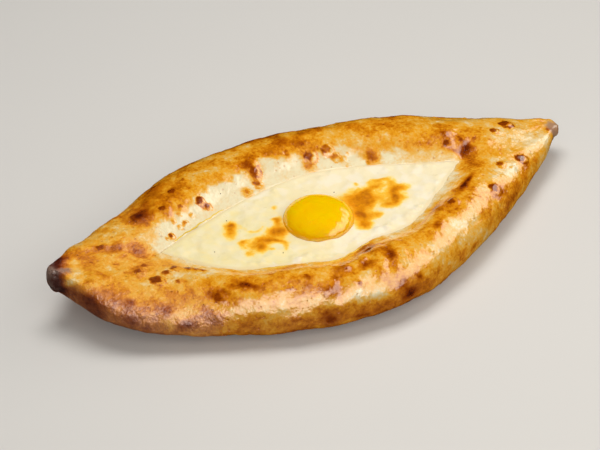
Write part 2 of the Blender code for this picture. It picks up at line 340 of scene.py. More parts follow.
class Nodes:
    """A node tree being built. Values and sockets are both given as plain arguments."""

    def __init__(self, tree):
        self.tree = tree

    @classmethod
    def group(cls, name, kind, inlets, outlets):
        """A new group; each inlet is a label, a socket type and, for a value, its default."""
        tree = bpy.data.node_groups.new(name, kind)
        for label, socket, *default in inlets:
            item = tree.interface.new_socket(label, in_out="INPUT", socket_type=socket)
            if default:
                item.default_value = default[0]
        for label, socket in outlets:
            tree.interface.new_socket(label, in_out="OUTPUT", socket_type=socket)
        made = cls(tree)
        made.inlet = tree.nodes.new("NodeGroupInput").outputs
        made.outlet = tree.nodes.new("NodeGroupOutput")
        return made

    def put(self, socket, value):
        if isinstance(value, bpy.types.NodeSocket):
            self.tree.links.new(value, socket)
        else:
            socket.default_value = value

    def fill(self, node, values):
        """Give a node's inputs, named by label or number."""
        for key, value in values.items():
            self.put(node.inputs[key], value)
        return node

    def add(self, kind, values=None, **settings):
        node = self.tree.nodes.new(kind)
        for key, value in settings.items():
            setattr(node, key, value)
        return self.fill(node, values or {})

    def use(self, group, **values):
        """A group's node, with its inputs by name; an underscore stands for a space."""
        node = self.add("ShaderNodeGroup", node_tree=group)
        return self.fill(node, {key.replace("_", " "): value for key, value in values.items()})

    def math(self, operation, a, b=0.0, c=0.0):
        return self.add("ShaderNodeMath", {0: a, 1: b, 2: c}, operation=operation).outputs[0]

    plus = partialmethod(math, "ADD")
    minus = partialmethod(math, "SUBTRACT")
    times = partialmethod(math, "MULTIPLY")
    times_plus = partialmethod(math, "MULTIPLY_ADD")
    over = partialmethod(math, "DIVIDE")
    most = partialmethod(math, "MAXIMUM")

    def inverse(self, value):
        return self.over(1.0, value) if isinstance(value, bpy.types.NodeSocket) else 1.0 / value

    def vector(self, operation, a, b):
        node = self.add("ShaderNodeVectorMath", {0: a, 1: b}, operation=operation)
        return node.outputs["Value" if operation == "DISTANCE" else "Vector"]

    def scaled(self, vector, factor):
        node = self.add("ShaderNodeVectorMath", {0: vector, "Scale": factor}, operation="SCALE")
        return node.outputs["Vector"]

    def span(self, value, low, high, to_low=0.0, to_high=1.0, smooth=True):
        """The value taken from one span to another, held at its ends."""
        values = {"Value": value, "From Min": low, "From Max": high, "To Min": to_low, "To Max": to_high}
        easing = "SMOOTHSTEP" if smooth else "LINEAR"
        return self.add("ShaderNodeMapRange", values, interpolation_type=easing).outputs["Result"]

    def noise(self, place, size, detail=2.0, roughness=0.5, distortion=0.0):
        """Noise from 0 to 1 whose features are about size metres across."""
        values = {"Vector": place, "Scale": self.inverse(size), "Detail": detail}
        values.update({"Roughness": roughness, "Distortion": distortion})
        return self.add("ShaderNodeTexNoise", values).outputs["Fac"]

    def swing(self, place, size, *shape):
        """The same noise, from -0.5 to 0.5."""
        return self.minus(self.noise(place, size, *shape), 0.5)

    def mix(self, factor, a, b, blend="MIX"):
        """Two colours mixed; each is a socket or three numbers."""
        values = {0: factor}
        for inlet, colour in ((6, a), (7, b)):
            values[inlet] = colour if isinstance(colour, bpy.types.NodeSocket) else (*colour, 1.0)
        node = self.add("ShaderNodeMix", values, data_type="RGBA", blend_type=blend)
        return node.outputs[2]

    def attribute(self, name):
        return self.add("ShaderNodeAttribute", attribute_name=name).outputs["Fac"]

    def named(self, name, kind="FLOAT"):
        node = self.add("GeometryNodeInputNamedAttribute", {"Name": name}, data_type=kind)
        return node.outputs["Attribute"]

    def store(self, geometry, name, value, kind="FLOAT"):
        values = {"Geometry": geometry, "Name": name, "Value": value}
        return self.add("GeometryNodeStoreNamedAttribute", values, data_type=kind).outputs["Geometry"]

    def sample(self, geometry, value, index, kind="FLOAT"):
        values = {"Geometry": geometry, "Value": value, "Index": index}
        return self.add("GeometryNodeSampleIndex", values, data_type=kind).outputs["Value"]

    def position(self):
        return self.add("GeometryNodeInputPosition").outputs[0]

    def ramp(self, value, stops):
        """A colour along the stops, which are pairs of place and colour."""
        node = self.add("ShaderNodeValToRGB", {"Fac": value})
        elements = node.color_ramp.elements
        while len(elements) < len(stops):
            elements.new(0.5)
        for element, (place, colour) in zip(elements, stops):
            element.position = place
            element.color = (*colour, 1.0)
        return node.outputs["Color"]


def apply_tree(thing, tree, inputs):
    """Run a Geometry Nodes tree on an object and return the result as a plain mesh."""
    modifier = thing.modifiers.new(tree.name, "NODES")
    modifier.node_group = tree
    sockets = {item.name: item.identifier for item in tree.interface.items_tree if item.in_out == "INPUT"}
    for label, value in inputs.items():
        modifier[sockets[label]] = value
    bpy.context.view_layer.update()
    depsgraph = bpy.context.evaluated_depsgraph_get()
    evaluated = thing.evaluated_get(depsgraph)
    mesh = bpy.data.meshes.new_from_object(evaluated, preserve_all_data_layers=True, depsgraph=depsgraph)
    thing.modifiers.remove(modifier)
    return mesh


def discard(*things):
    """Remove the objects that a tree worked from."""
    for thing in things:
        bpy.data.objects.remove(thing, do_unlink=True)


# ---------------------------------------------------------------------------------------------
# Where the oven left its marks, with some painted highlight among them, in millimetres on the loaf's
# plan.

# Broad browning: x, y, half length, half width, turn in degrees, amount.
CLOUDS = (
    # Back rim, from the left.
    (-95, 31, 5, 4.4, 10, 0.45),
    (-97, 21, 4, 3, 30, 0.1),
    (-84, 43, 13, 7, 30, 0.25),
    (-87, 34, 9, 5, 20, 0.06),
    (-77, 50, 7, 5, 20, 0.12),
    (-70, 40, 4, 4, 0, 0.08),
    (-62, 40, 8, 5, 0, -0.06),
    (-47, 46, 10, 7, 0, -0.05),
    (-24, 54, 15, 6, 0, -0.06),
    (-26, 42, 6, 3.5, 50, 0.22),
    (-14, 66, 22, 5, 0, 0.2),
    (-10, 46, 5, 3.5, 0, 0.2),
    (0, 52, 6, 3.5, 15, 0.2),
    (13, 53, 4, 3, 0, 0.2),
    (7, 47, 4, 4, 60, 0.12),
    (0, 40.5, 7, 2.5, 0, 0.12),
    (23, 55, 3, 3, 0, 0.16),
    (27, 47, 6, 6, 0, -0.05),
    (43, 48, 4, 5, 0, 0.03),
    (36, 60, 10, 4, 0, -0.08),
    (34, 46, 9, 4, 0, -0.06),
    (54, 42, 8, 5, -15, 0.12),
    (68, 40, 10, 5, -15, 0.1),
    (70, 19, 7, 3, 0, 0.1),
    (60, 27, 10, 4, -15, -0.06),
    (84, 18, 4, 5, 0, 0.14),
    (86, 27, 5, 3, 20, 0.12),
    (103, 17, 7, 4, 0, 0.14),
    # Back rim's inner slope.
    (8, 35.6, 3, 4.2, 20, 0.36),
    (20.5, 36, 3.4, 3.4, 0, 0.26),
    (25.5, 30.5, 2.6, 4, 40, 0.14),
    (41.5, 25, 3, 3.8, 0, 0.38),
    (-24, 37, 2.8, 7, 0, 0.26),
    (-32.6, 29.6, 2.8, 2.2, 0, 0.32),
    (31, 30, 10, 4, 0, -0.08),
    (0, 34, 6, 4, 0, -0.06),
    (-44, 32, 12, 4, 10, -0.05),
    # Right end.
    (91, 6, 6, 4.5, 35, 0.5),
    (99, 11, 8, 3, 10, 0.14),
    (112, 8, 9, 4, 20, 0.06),
    (92, -8, 8, 9, 0, 0.12),
    (108, 0, 9, 6, 0, 0.07),
    (74, -21, 10, 2.6, 38, 0.36),
    (64, -28, 4, 2.4, 30, 0.08),
    (84, -25, 8, 4, 33, -0.12),
    (129, 1, 15, 8, 10, -0.19),
    (124.4, 18.4, 2.6, 2.2, 0, 0.4),
    (98, -18, 12, 7, 30, -0.2),
    (118, 15, 8, 4, 0, -0.1),
    (108, -24, 18, 3, 33, 0.12),
    (143, 14, 5, 4, 0, 0.12),
    (148.4, 8.4, 1.6, 2, 0, 0.34),
    # Front rim's inner slope and top.
    (53, -36, 9, 4, 10, 0.18),
    (49, -31, 3, 3, 40, 0.2),
    (42, -49, 4, 3, 0, 0.16),
    (32, -54, 7, 4, 30, 0.1),
    (17, -44, 10, 6, 0, -0.16),
    (-73, -37, 5, 3, 60, 0.14),
    # Left end.
    (-103, -31, 6, 3, 20, 0.1),
    (-104, -12, 14, 11, -10, -0.12),
    (-95, -16, 7, 4, -40, -0.16),
    (-80, -25, 9, 3.5, -25, -0.2),
    (-92, -22, 10, 6, -20, -0.13),
    (-113, -22, 8, 6, 0, -0.08),
    (-127, -24, 8, 5, -35, 0.16),
    (-137, -20, 6, 6, 0, 0.14),
    (-144, -16, 6, 9, -30, 0.14),
    (-132, -33, 8, 5, -35, 0.14),
    (-107, 22, 9, 5, 0, -0.1),
    (-116, 14, 14, 2.4, -8, 0.16),
    (-105, 7, 5, 3, -20, 0.14),
    (-137, 14, 8, 3, 0, 0.12),
    (-146, 14, 7, 3, 0, 0.2),
    (-142, 1, 6, 6, 0, -0.06),
    (34, 48, 14, 5, -8, -0.06),
    (-3.5, -41, 5, 2, -15, 0.22),
    (3.5, -40, 4, 2.5, -15, 0.16),
    (66, 41, 12, 5, -16, -0.03),
    (58, 16, 9, 3, -14, 0.10),
    (114, -8, 6, 4, 30, 0.1),
    (74, 10, 8, 3, -20, 0.13),
    (-126, -13, 7, 5, -30, 0.12),
    (-137, 5, 6, 5, 0, 0.06),
    (-155, 8, 7.4, 8, 0, 0.78),
    (-149, 12, 5, 3, 0, 0.25),
    (-142, 4, 4, 6, 0, -0.16),
)

# Marks on the front side, where the plan is foreshortened: x, distance over the skin outwards from
# the rim's top, half length, half width, turn in degrees, amount.
FRONT_CLOUDS = (
    (-85.7, 17.2, 2.8, 4, -40, 0.34),
    (-82, 12.7, 3, 3, -50, 0.25),
    (-76.7, 8.2, 3, 2.2, -30, 0.2),
    (-69.7, 6.3, 3.6, 2.4, 0, 0.4),
    (-66.5, 8.4, 3, 2, 0, 0.2),
    (-91.7, 28, 4, 2.2, 0, 0.26),
    (-94, 32.8, 5, 2.4, 0, 0.08),
    (-76.5, 26, 7, 2, 0, 0.14),
    (-39.8, 4.8, 2.6, 1.8, 0, 0.28),
    (-42.3, 10.1, 3, 2, 0, 0.22),
    (-32.7, 12.6, 4.2, 3, 0, 0.2),
    (-28.3, 14.2, 2.4, 6, 0, 0.2),
    (-34, 22, 5, 8, 0, 0.08),
    (-19.9, 1.3, 4, 3.4, 0, 0.2),
    (-25.5, 2.4, 3.4, 3.4, 0, 0.1),
    (-7.4, 3.6, 5, 2.6, 0, 0.28),
    (-14.8, -2.8, 5, 1.2, 0, 0.18),
    # The next three lighten the tone on the front rim's middle where the lamps' highlight falls: painted
    # highlight, over dough that is partly paler there.
    (-13, 18, 8, 7, 0, -0.06),
    (-12, 23.5, 9, 3.5, 0, -0.2),
    (-9, 9, 4.5, 3.2, 0, -0.15),
    (0.5, -9.4, 5, 2.6, 0, 0.36),
    (6.5, -0.6, 5, 2.6, 0, 0.28),
    (7, 5.1, 2.6, 3, 0, 0.3),
    (5.9, 11.5, 2.4, 5, 0, 0.16),
    (10.8, 30.1, 5.4, 3.6, 0, 0.42),
    (7, 24.2, 3, 3, 0, 0.2),
    (17.3, 23.7, 2.4, 1.8, 0, 0.36),
    (-35.1, 32.2, 3.6, 3, 0, 0.34),
    (-37.1, 28, 2, 3, 0, 0.16),
    (-17.3, 32.8, 5, 2.4, 0, 0.26),
    (-18, 27, 14, 4, 0, 0.08),
    (51.4, -12.6, 4, 2.6, 0, 0.2),
    (39.8, 2.5, 4, 2.4, 0, 0.16),
    (39.9, -8.9, 4, 2.4, 0, 0.16),
    (59.6, 32.2, 3, 3, 0, 0.3),
    (83.8, 29.8, 4, 3, 0, 0.16),
    (96.9, 26, 5, 3, 0, 0.14),
    (77.3, -2.2, 3, 2, 0, 0.2),
    (70.7, -1.4, 3, 2, 0, 0.2),
    (-82, -11, 12, 4, 0, -0.14),
    # Painted highlight: lighter tone along the band where the lamps are mirrored in the front rim.
    (50, 11, 11, 7, 0, -0.10),
    (-5, 20, 12, 6, 0, -0.08),
    (13, 19, 14, 6, 0, -0.12),
    (42, 16, 16, 6, 0, -0.14),
    (66, 17.5, 14, 6, 0, -0.14),
    (-55, 18, 22, 6, 0, -0.08),
    (-82, 27.3, 6, 3, 0, -0.16),
    (-64, 24.4, 16, 4.5, 0, -0.20),
    (-42, 21, 9, 4.5, 0, -0.14),
    (-24, 20, 6, 4, 0, -0.14),
    # Left end.
    (-111, 23.4, 3.4, 3.6, 0, 0.32),
    (-103.5, 33.8, 3, 2.6, 0, 0.36),
    (-104, 15.4, 5, 4, 0, 0.14),
    (-98, 5.6, 5, 2, 30, 0.12),
    (-119.6, 33.7, 4, 3, 0, 0.1),
    (-131, 26.3, 6, 4, 0, 0.06),
    (-140.5, 20.5, 5, 5, 0, 0.1),
    (-127.7, 27.6, 3, 2, 0, 0.12),
    (-125.4, 16.6, 2, 2, 0, 0.2),
    (-118, 5, 6, 4, 0, -0.14),
    (-148.9, 7.4, 6, 1.3, -47, -0.3),
    (-150, 11, 5, 2, -47, 0.2),
    (-146, 15, 4, 5, 0, 0.2),
)

# Where the butter missed the front side's skin, given as the marks above.
DRY_SKIN = (
    (-41, 14, 5.5, 6, 0, 0.7),
    (-91, 29, 7, 7, 0, 0.6),
)

# Blisters: x, y, radius, rise, char. Those of some size have a dent in their top.
DENTED_FROM = 1.8
BLISTER_DENT = 0.5
BLISTERS = (
    # Back rim.
    (-95, 30, 5.2, 1.5, 1.0),
    (-98, 22, 2.4, 0.5, 0.55),
    (-89, 39, 2.2, 0.6, 0.65),
    (-84, 35, 1.8, 0.6, 0.6),
    (-77, 50, 3.0, 0.8, 0.8),
    (-71, 39, 3.4, 1.0, 0.9),
    (-65, 38.5, 2.0, 0.6, 0.6),
    (-62, 46.5, 2.6, 0.7, 0.65),
    (-79.5, 38, 1.6, 0.6, 0.6),
    (-76, 33.5, 1.6, 0.6, 0.6),
    (-81, 28, 3.2, 1.0, 0.85),
    (-80.5, 24.5, 1.8, 0.5, 0.6),
    (-72, 27, 2.2, 0.8, 0.7),
    (-68.5, 30.5, 1.6, 0.5, 0.45),
    (-60.2, 28.4, 3.0, 1.1, 0.92),
    (-57.2, 25.6, 2.6, 1.0, 0.8),
    (-54, 34, 1.8, 0.5, 0.5),
    (-84, 13.6, 2.0, 0.6, 0.8),
    (-87, 12.4, 1.6, 0.4, 0.6),
    (-73, 19.2, 1.8, 0.6, 0.6),
    (-79, 20.8, 1.7, 0.5, 0.55),
    (-77, 17.5, 1.6, 0.5, 0.5),
    (-74.5, 23.5, 1.8, 0.6, 0.55),
    (-68, 22.2, 1.6, 0.5, 0.5),
    (-90, 21, 1.6, 0.4, 0.4),
    (-23, 41.3, 4.2, 1.0, 0.74),
    (-22.4, 38.2, 3.4, 0.9, 0.8),
    (-22.9, 35.6, 3.0, 0.9, 0.76),
    (-24.1, 32.2, 2.8, 0.8, 0.7),
    (-31.9, 29.2, 2.4, 0.7, 0.62),
    (-18, 45.4, 2.4, 0.5, 0.6),
    (-10, 46, 3.2, 0.6, 0.62),
    (-1, 41, 2.4, 0.4, 0.5),
    (10.6, 37.6, 4.2, 1.5, 0.8),
    (8.6, 33.6, 3.4, 0.9, 0.55),
    (21, 37, 4.0, 1.4, 0.7),
    (23.8, 32.6, 3.0, 0.9, 0.62),
    (27, 30.4, 2.3, 0.6, 0.5),
    (28.4, 26.6, 1.8, 0.5, 0.36),
    (0, 52.6, 3.4, 0.7, 0.62),
    (13, 52.5, 3.2, 0.7, 0.66),
    (7, 47.5, 3.0, 0.6, 0.6),
    (23, 54.6, 2.6, 0.5, 0.62),
    (42.5, 48.6, 3.0, 0.4, 0.55),
    (43.2, 26, 3.8, 1.2, 0.64),
    (41, 22.6, 2.8, 0.8, 0.5),
    (60, 24.6, 1.8, 0.5, 0.5),
    (74, 23.4, 1.9, 0.5, 0.5),
    (70, 18.6, 2.6, 0.4, 0.45),
    (86.5, 27, 2.2, 0.5, 0.6),
    # Right end.
    (83.9, 13.5, 3.2, 0.9, 0.85),
    (84.7, 19.1, 2.4, 0.7, 0.75),
    (92.7, 12.8, 2.4, 0.3, 0.75),
    (92, 5.6, 3.4, 0.3, 0.8),
    (99.9, 11.2, 1.9, 0.5, 0.72),
    (104.5, 7, 2.2, 0.4, 0.5),
    (114.3, 13.5, 2.8, 0.8, 0.8),
    (124.8, 17.8, 3.8, 1.1, 1.0),
    (117.6, -11.6, 4.0, 1.2, 1.0),
    (102.2, -13.3, 3.1, 1.0, 0.76),
    (98, -21.6, 1.8, 0.7, 0.4),
    (94.2, -17.6, 1.6, 0.5, 0.45),
    (107, -17, 1.7, 0.5, 0.35),
    (88.0, -30.4, 4.0, 1.2, 0.9),
    (148, 8.4, 2.6, 0.3, 0.7),
    (133, 12, 1.8, 0.4, 0.35),
    (120, 5, 1.7, 0.4, 0.32),
    # Front rim.
    (58, -34.6, 3.4, 1.0, 0.85),
    (49, -32.5, 3.0, 0.8, 0.8),
    (69, -37, 2.0, 0.5, 0.6),
    (76, -27.8, 2.0, 0.6, 0.6),
    (71, -24, 2.6, 0.4, 0.8),
    (42, -48.6, 2.6, 0.6, 0.66),
    (31.5, -41.5, 2.4, 0.4, 0.5),
    (20, -46, 2.2, 0.5, 0.5),
    (6.8, -58.4, 3.0, 0.6, 0.6),
    (-16, -68.6, 2.2, 0.8, 0.62),
    (-9, -57.4, 3.2, 0.6, 0.62),
    (-20, -57, 3.2, 0.7, 0.6),
    (-27.6, -61.6, 2.4, 0.6, 0.62),
    (-39.4, -54.8, 2.6, 0.6, 0.72),
    (-42.4, -59, 2.4, 0.5, 0.62),
    (-34.6, -66.4, 2.6, 0.6, 0.6),
    (-51.6, -56.6, 1.8, 0.5, 0.5),
    (-70.6, -45, 3.0, 1.0, 0.85),
    (-67, -48, 1.8, 0.5, 0.7),
    (-84.4, -44.4, 3.8, 1.0, 0.88),
    (-79.4, -42.4, 2.4, 0.5, 0.62),
    (-73, -38, 1.8, 0.4, 0.5),
    # Left end.
    (-122.5, 14.8, 3.2, 0.9, 0.8),
    (-116, 13.6, 2.4, 0.3, 0.55),
    (-110, 19.4, 1.8, 0.4, 0.5),
    (-105.6, 8.2, 3.4, 0.5, 0.68),
    (-102, 5.8, 2.2, 0.4, 0.6),
    (-107.4, -4.9, 2.6, 0.8, 0.74),
    (-106, -9.2, 1.8, 0.5, 0.5),
    (-112.2, -8.8, 3.4, 1.1, 0.8),
    (-106.8, -19, 4.2, 1.5, 0.88),
    (-99.9, -14.6, 2.7, 1.0, 0.76),
    (-93.8, -12.7, 3.3, 1.1, 0.82),
    (-87.7, -16.3, 3.1, 1.0, 0.82),
    (-84.4, -19.3, 2.4, 0.9, 0.78),
    (-81.8, -21.8, 2.1, 0.8, 0.72),
    (-97.6, -24.2, 2.1, 0.6, 0.72),
    (-90.4, -27.2, 1.6, 0.5, 0.45),
    (-127, -28, 2.6, 0.4, 0.6),
    (-146, 13, 2.4, 0.4, 0.6),
)

# Dry grey bloom on the scorched tips, and painted highlights on the tops of two dark blisters (116.5,
# -10.8 and -94.5, 27): x, y, half length, half width, turn in degrees, amount.
ASH_AND_GLINTS = (
    (152.6, 11, 5.6, 5.6, 0, 1.2),
    (150, 6, 2.4, 2.4, 40, 0.6),
    (116.5, -10.8, 2.4, 2.2, 0, 0.9),
    (-156, 8, 4, 5, 0, 0.9),
    (-150, 4, 4, 3, 0, 0.6),
    (-94.5, 27, 1.8, 1.5, 0, 0.5),
    (-146, 3, 4, 4, 0, 0.5),
)

# Folds and seams of the shaped dough, as points x, y.
CREASES = (
    ((84, 3), (91, 8), (100, 10.5)),
    ((-102, 4), (-109, 9), (-118, 12.5), (-130, 14)),
    ((-152, 2), (-147, -2), (-141, -6)),
    ((-1, -46), (-4, -55), (-12, -60), (-22, -60)),
    ((9, -46), (8, -56), (3, -64)),
    ((-27, -58), (-26, -65), (-30, -70)),
)

# Where small blisters crowd: x, y, half length, half width, turn in degrees, amount.
BLISTERY = (
    (-75, 26, 16, 12, 20, 0.9),
    (-98, -10, 20, 10, -15, 0.7),
    (105, -12, 22, 14, 30, 0.8),
    (60, 36, 34, 10, -15, 1.0),
    (-15, 44, 40, 8, 0, 0.6),
    (-20, -55, 60, 8, 0, 0.5),
    (110, 15, 20, 8, 0, 0.6),
)

# Browned patches on the cheese: x, y, half length, half width, turn in degrees, amount.
TOASTED = (
    (-48.4, 6, 1.3, 2.0, 0, 0.22),
    (-47.3, 2.6, 1.3, 2.0, 0, 0.24),
    (-45.4, -0.6, 1.8, 1.3, -40, 0.24),
    (-42.2, -2.0, 2.4, 1.2, 0, 0.22),
    (-38.8, -0.8, 2.2, 1.2, 30, 0.16),
    (-54.5, 5, 3.2, 6.5, -25, 1.0),
    (-52, 9, 2.2, 2, 0, 0.8),
    (-42, -11, 6.5, 3.4, -10, 1.0),
    (-46.5, -16, 3, 3.4, -40, 1.0),
    (-36, -14.5, 4.5, 1.6, -35, 0.7),
    (-34.5, -20, 1.4, 3.4, -20, 0.5),
    (-36, -6.5, 3.4, 3.2, 0, 0.9),
    (-31, -8, 3.6, 4.5, -30, 0.95),
    (-29, 0, 2, 4, -35, 0.9),
    (-30, 2.6, 1.8, 1.6, 0, 0.8),
    (-54.5, -9, 1.6, 3.2, -15, 0.6),
    (-52.5, -7, 3, 1.2, 0, 0.5),
    (-54.5, -17, 2.4, 2.6, 0, 0.55),
    (-50, -12.5, 3, 3, 0, 0.4),
    (-42.5, -19.6, 1.6, 1.2, 0, 0.5),
    (-25, 12, 1.8, 1.6, 0, 0.5),
    (17, -2, 9.5, 6.5, -10, 1.0),
    (22.5, -5, 4, 6, -15, 1.0),
    (14, -12, 5.5, 6, 0, 0.8),
    (12, -17, 5, 4.5, 0, 0.85),
    (10.5, -23.5, 4, 3.6, 0, 0.95),
    (20.5, -18.5, 3, 2.2, 0, 0.75),
    (33, 3, 3.6, 3.2, 0, 0.8),
    (38, -5, 3, 6.5, -20, 0.85),
    (43.5, -4.2, 4.4, 2.8, 0, 0.95),
    (36, -12, 2.2, 4.5, -25, 0.85),
    (40, -11.5, 4, 3, 0, 0.5),
    (31, -14, 4, 3, 0, 0.6),
    (30, -7, 4, 5, 0, 0.45),
    (23.5, 9.5, 1.2, 1.4, 0, 0.3),
    (26, 2, 4.5, 2.4, 15, 0.75),
    (38, 6.5, 5, 1.5, 0, 0.6),
    (41, 2, 3, 3, 0, 0.45),
    (31.5, 8, 3.5, 1.5, 20, 0.4),
)


def cloud_field(x, y, clouds):
    """How strongly the listed patches reach each place: overlapping soft ellipses."""
    total = np.zeros(x.shape)
    for cx, cy, length, width, turn, amount in clouds:
        turn = math.radians(turn)
        along = ((x - cx) * math.cos(turn) + (y - cy) * math.sin(turn)) / length
        across = ((y - cy) * math.cos(turn) - (x - cx) * math.sin(turn)) / width
        total += amount * np.exp(-(along**2 + across**2))
    return total


# ---------------------------------------------------------------------------------------------
# Geometry Nodes trees.

SCALAR = "NodeSocketFloat"
WHOLE = "NodeSocketInt"
SHAPE = "NodeSocketGeometry"
THING = "NodeSocketObject"
FINISH = "NodeSocketMaterial"
VECTOR = "NodeSocketVector"
OUT_SHAPE = (("Geometry", SHAPE),)

# A blister's outline strays: its place in metres, and then its reach in shares of its radius.
STRAY_SCALE, STRAY_REACH = 260.0, 0.0024
WANDER_SIZE, WANDER = 0.0026, 1.1
# Where its dark cap and the ring round its sunken top lie, in shares of its radius, and how dark
# the ring is beside the cap.
CAP_ASIDE = (-0.34, 0.30, 0.1)
RING_REACH = 0.92
RING_CHAR = 0.72
SHOULDER_RISE = 0.2  # of a fold's shoulders, in shares of its depth


def crust_relief_tree():
    """Raises lumps, grain, placed blisters, scattered blisters and creases on the plain loaf."""
    n = Nodes.group(
        "Crust Relief",
        "GeometryNodeTree",
        (
            ("Loaf", SHAPE),
            ("Blisters", THING),
            ("Creases", THING),
            ("Finish", FINISH),
            ("Inset", SCALAR, 0.0012),
            ("Lump Height", SCALAR, 0.0020),
            ("Lump Size", SCALAR, 0.024),
            ("Ripple Height", SCALAR, 0.00048),
            ("Ripple Size", SCALAR, 0.008),
            ("Grain Height", SCALAR, 0.00022),
            ("Grain Size", SCALAR, 0.0026),
            ("Small Blister Height", SCALAR, 0.0007),
            ("Small Blister Spacing", SCALAR, 0.0062),
            ("Crease Width", SCALAR, 0.0038),
            ("Crease Depth", SCALAR, 0.0009),
        ),
        OUT_SHAPE,
    )
    inlet = n.inlet
    place = n.position()
    stray = n.add("ShaderNodeTexNoise", {"Vector": place, "Scale": STRAY_SCALE}).outputs["Color"]
    stray = n.vector("SUBTRACT", stray, (0.5, 0.5, 0.5))
    warped = n.vector("ADD", place, n.scaled(stray, STRAY_REACH))
    loaf = n.store(inlet["Loaf"], "warped", warped, "FLOAT_VECTOR")
    for name in ("char", "lift", "halo"):
        loaf = n.store(loaf, name, 0.0)
    wander = n.times_plus(n.noise(place, WANDER_SIZE), WANDER, -WANDER / 2)
    loaf = n.store(loaf, "wander", wander)
    loaf = place_blisters(n, loaf)
    loaf = scatter_blisters(n, loaf, warped)
    loaf, fold = press_folds(n, loaf, warped)

    height = n.named("lift")
    for label, *shape in (("Lump", 1.5), ("Ripple", 2.5, 0.55, 0.4), ("Grain", 1.0, 0.5)):
        swing = n.swing(place, inlet[label + " Size"], *shape)
        height = n.times_plus(swing, n.times(inlet[label + " Height"], 2.0), height)
    height = n.times_plus(n.named("small"), inlet["Small Blister Height"], height)
    height = n.times_plus(fold, inlet["Crease Depth"], height)
    height = n.times(height, n.named("skin"))
    height = n.minus(height, n.times(inlet["Inset"], n.named("inset")))
    outward = n.add("GeometryNodeInputNormal").outputs[0]
    moved = n.add("GeometryNodeSetPosition", {"Geometry": loaf, "Offset": n.scaled(outward, height)})
    finish_tree(n, moved.outputs["Geometry"])
    return n.tree


def place_blisters(n, loaf):
    """For each marked blister in turn: its rise with a dented top, its char, and a halo."""
    marks = n.add("GeometryNodeObjectInfo", {"Object": n.inlet["Blisters"]}).outputs["Geometry"]
    count = n.add("GeometryNodeAttributeDomainSize", {"Geometry": marks}).outputs["Point Count"]
    start = n.add("GeometryNodeRepeatInput", {"Iterations": count})
    stop = n.add("GeometryNodeRepeatOutput")
    start.pair_with_output(stop)
    n.put(start.inputs["Geometry"], loaf)
    step = start.outputs["Iteration"]
    radius, rise, char, dent = (
        n.sample(marks, n.named(name), step) for name in ("radius", "rise", "char", "dent")
    )
    middle = n.sample(marks, n.position(), step, "FLOAT_VECTOR")
    own = n.named("warped", "FLOAT_VECTOR")
    reach = n.plus(n.over(n.vector("DISTANCE", own, middle), radius), n.named("wander"))
    dome = n.span(reach, 1.3, 0.15)
    dent = n.times(n.span(reach, 0.65, 0.1), dent)
    rise = n.times(n.minus(dome, dent), rise)
    cap = n.vector("ADD", middle, n.scaled(CAP_ASIDE, radius))
    capped = n.plus(n.over(n.vector("DISTANCE", own, cap), radius), n.named("wander"))
    ring = n.span(n.math("ABSOLUTE", n.minus(reach, RING_REACH)), 0.42, 0.08)
    stain = n.most(n.span(capped, 1.15, 0.45), n.times(ring, RING_CHAR))
    added = {"lift": rise, "char": n.times(stain, char), "halo": n.times(n.span(reach, 2.2, 0.8), char)}
    loaf = start.outputs["Geometry"]
    for name, value in added.items():
        loaf = n.store(loaf, name, n.most(n.named(name), value))
    n.put(stop.inputs["Geometry"], loaf)
    return stop.outputs["Geometry"]


def scatter_blisters(n, loaf, warped):
    """Small blisters of uneven size, where the loaf says that they may be."""
    values = {"Vector": warped, "Scale": n.inverse(n.inlet["Small Blister Spacing"])}
    cells = n.add("ShaderNodeTexVoronoi", values)
    chance = n.add("FunctionNodeSeparateColor", {0: cells.outputs["Color"]})
    size = n.span(chance.outputs[0], 0.0, 1.0, 0.12, 0.36)
    chosen = n.span(chance.outputs[1], n.minus(1.0, n.named("blistered")), 1.0, 0.0, 1.0, False)
    chosen = n.span(chosen, 0.0, 0.25)
    small = n.times(n.span(n.over(cells.outputs["Distance"], size), 1.0, 0.0), chosen)
    stain = n.times(small, n.span(chance.outputs[2], 0.0, 1.0, 0.35, 0.85))
    loaf = n.store(loaf, "small", small)
    return n.store(loaf, "char", n.most(n.named("char"), stain))


def press_folds(n, loaf, warped):
    """A valley with low shoulders along each fold; also gives their height, 1 being the depth."""
    folds = n.add("GeometryNodeObjectInfo", {"Object": n.inlet["Creases"]}).outputs["Geometry"]
    values = {"Target": folds, "Source Position": warped}
    gap = n.add("GeometryNodeProximity", values, target_element="EDGES")
    off = n.over(gap.outputs["Distance"], n.inlet["Crease Width"])
    valley = n.span(off, 1.0, 0.0)
    shoulder = n.times(n.span(off, 0.5, 1.5), n.span(off, 3.2, 1.5))
    return n.store(loaf, "crease", valley), n.minus(n.times(shoulder, SHOULDER_RISE), valley)


def finish_tree(n, geometry):
    """Every tree ends alike: real geometry, smooth shading and its finish."""
    real = n.add("GeometryNodeRealizeInstances", {"Geometry": geometry}).outputs["Geometry"]
    real = n.add("GeometryNodeSetShadeSmooth", {"Geometry": real}).outputs["Geometry"]
    done = n.add("GeometryNodeSetMaterial", {"Geometry": real, "Material": n.inlet["Finish"]})
    n.put(n.outlet.inputs[0], done.outputs["Geometry"])


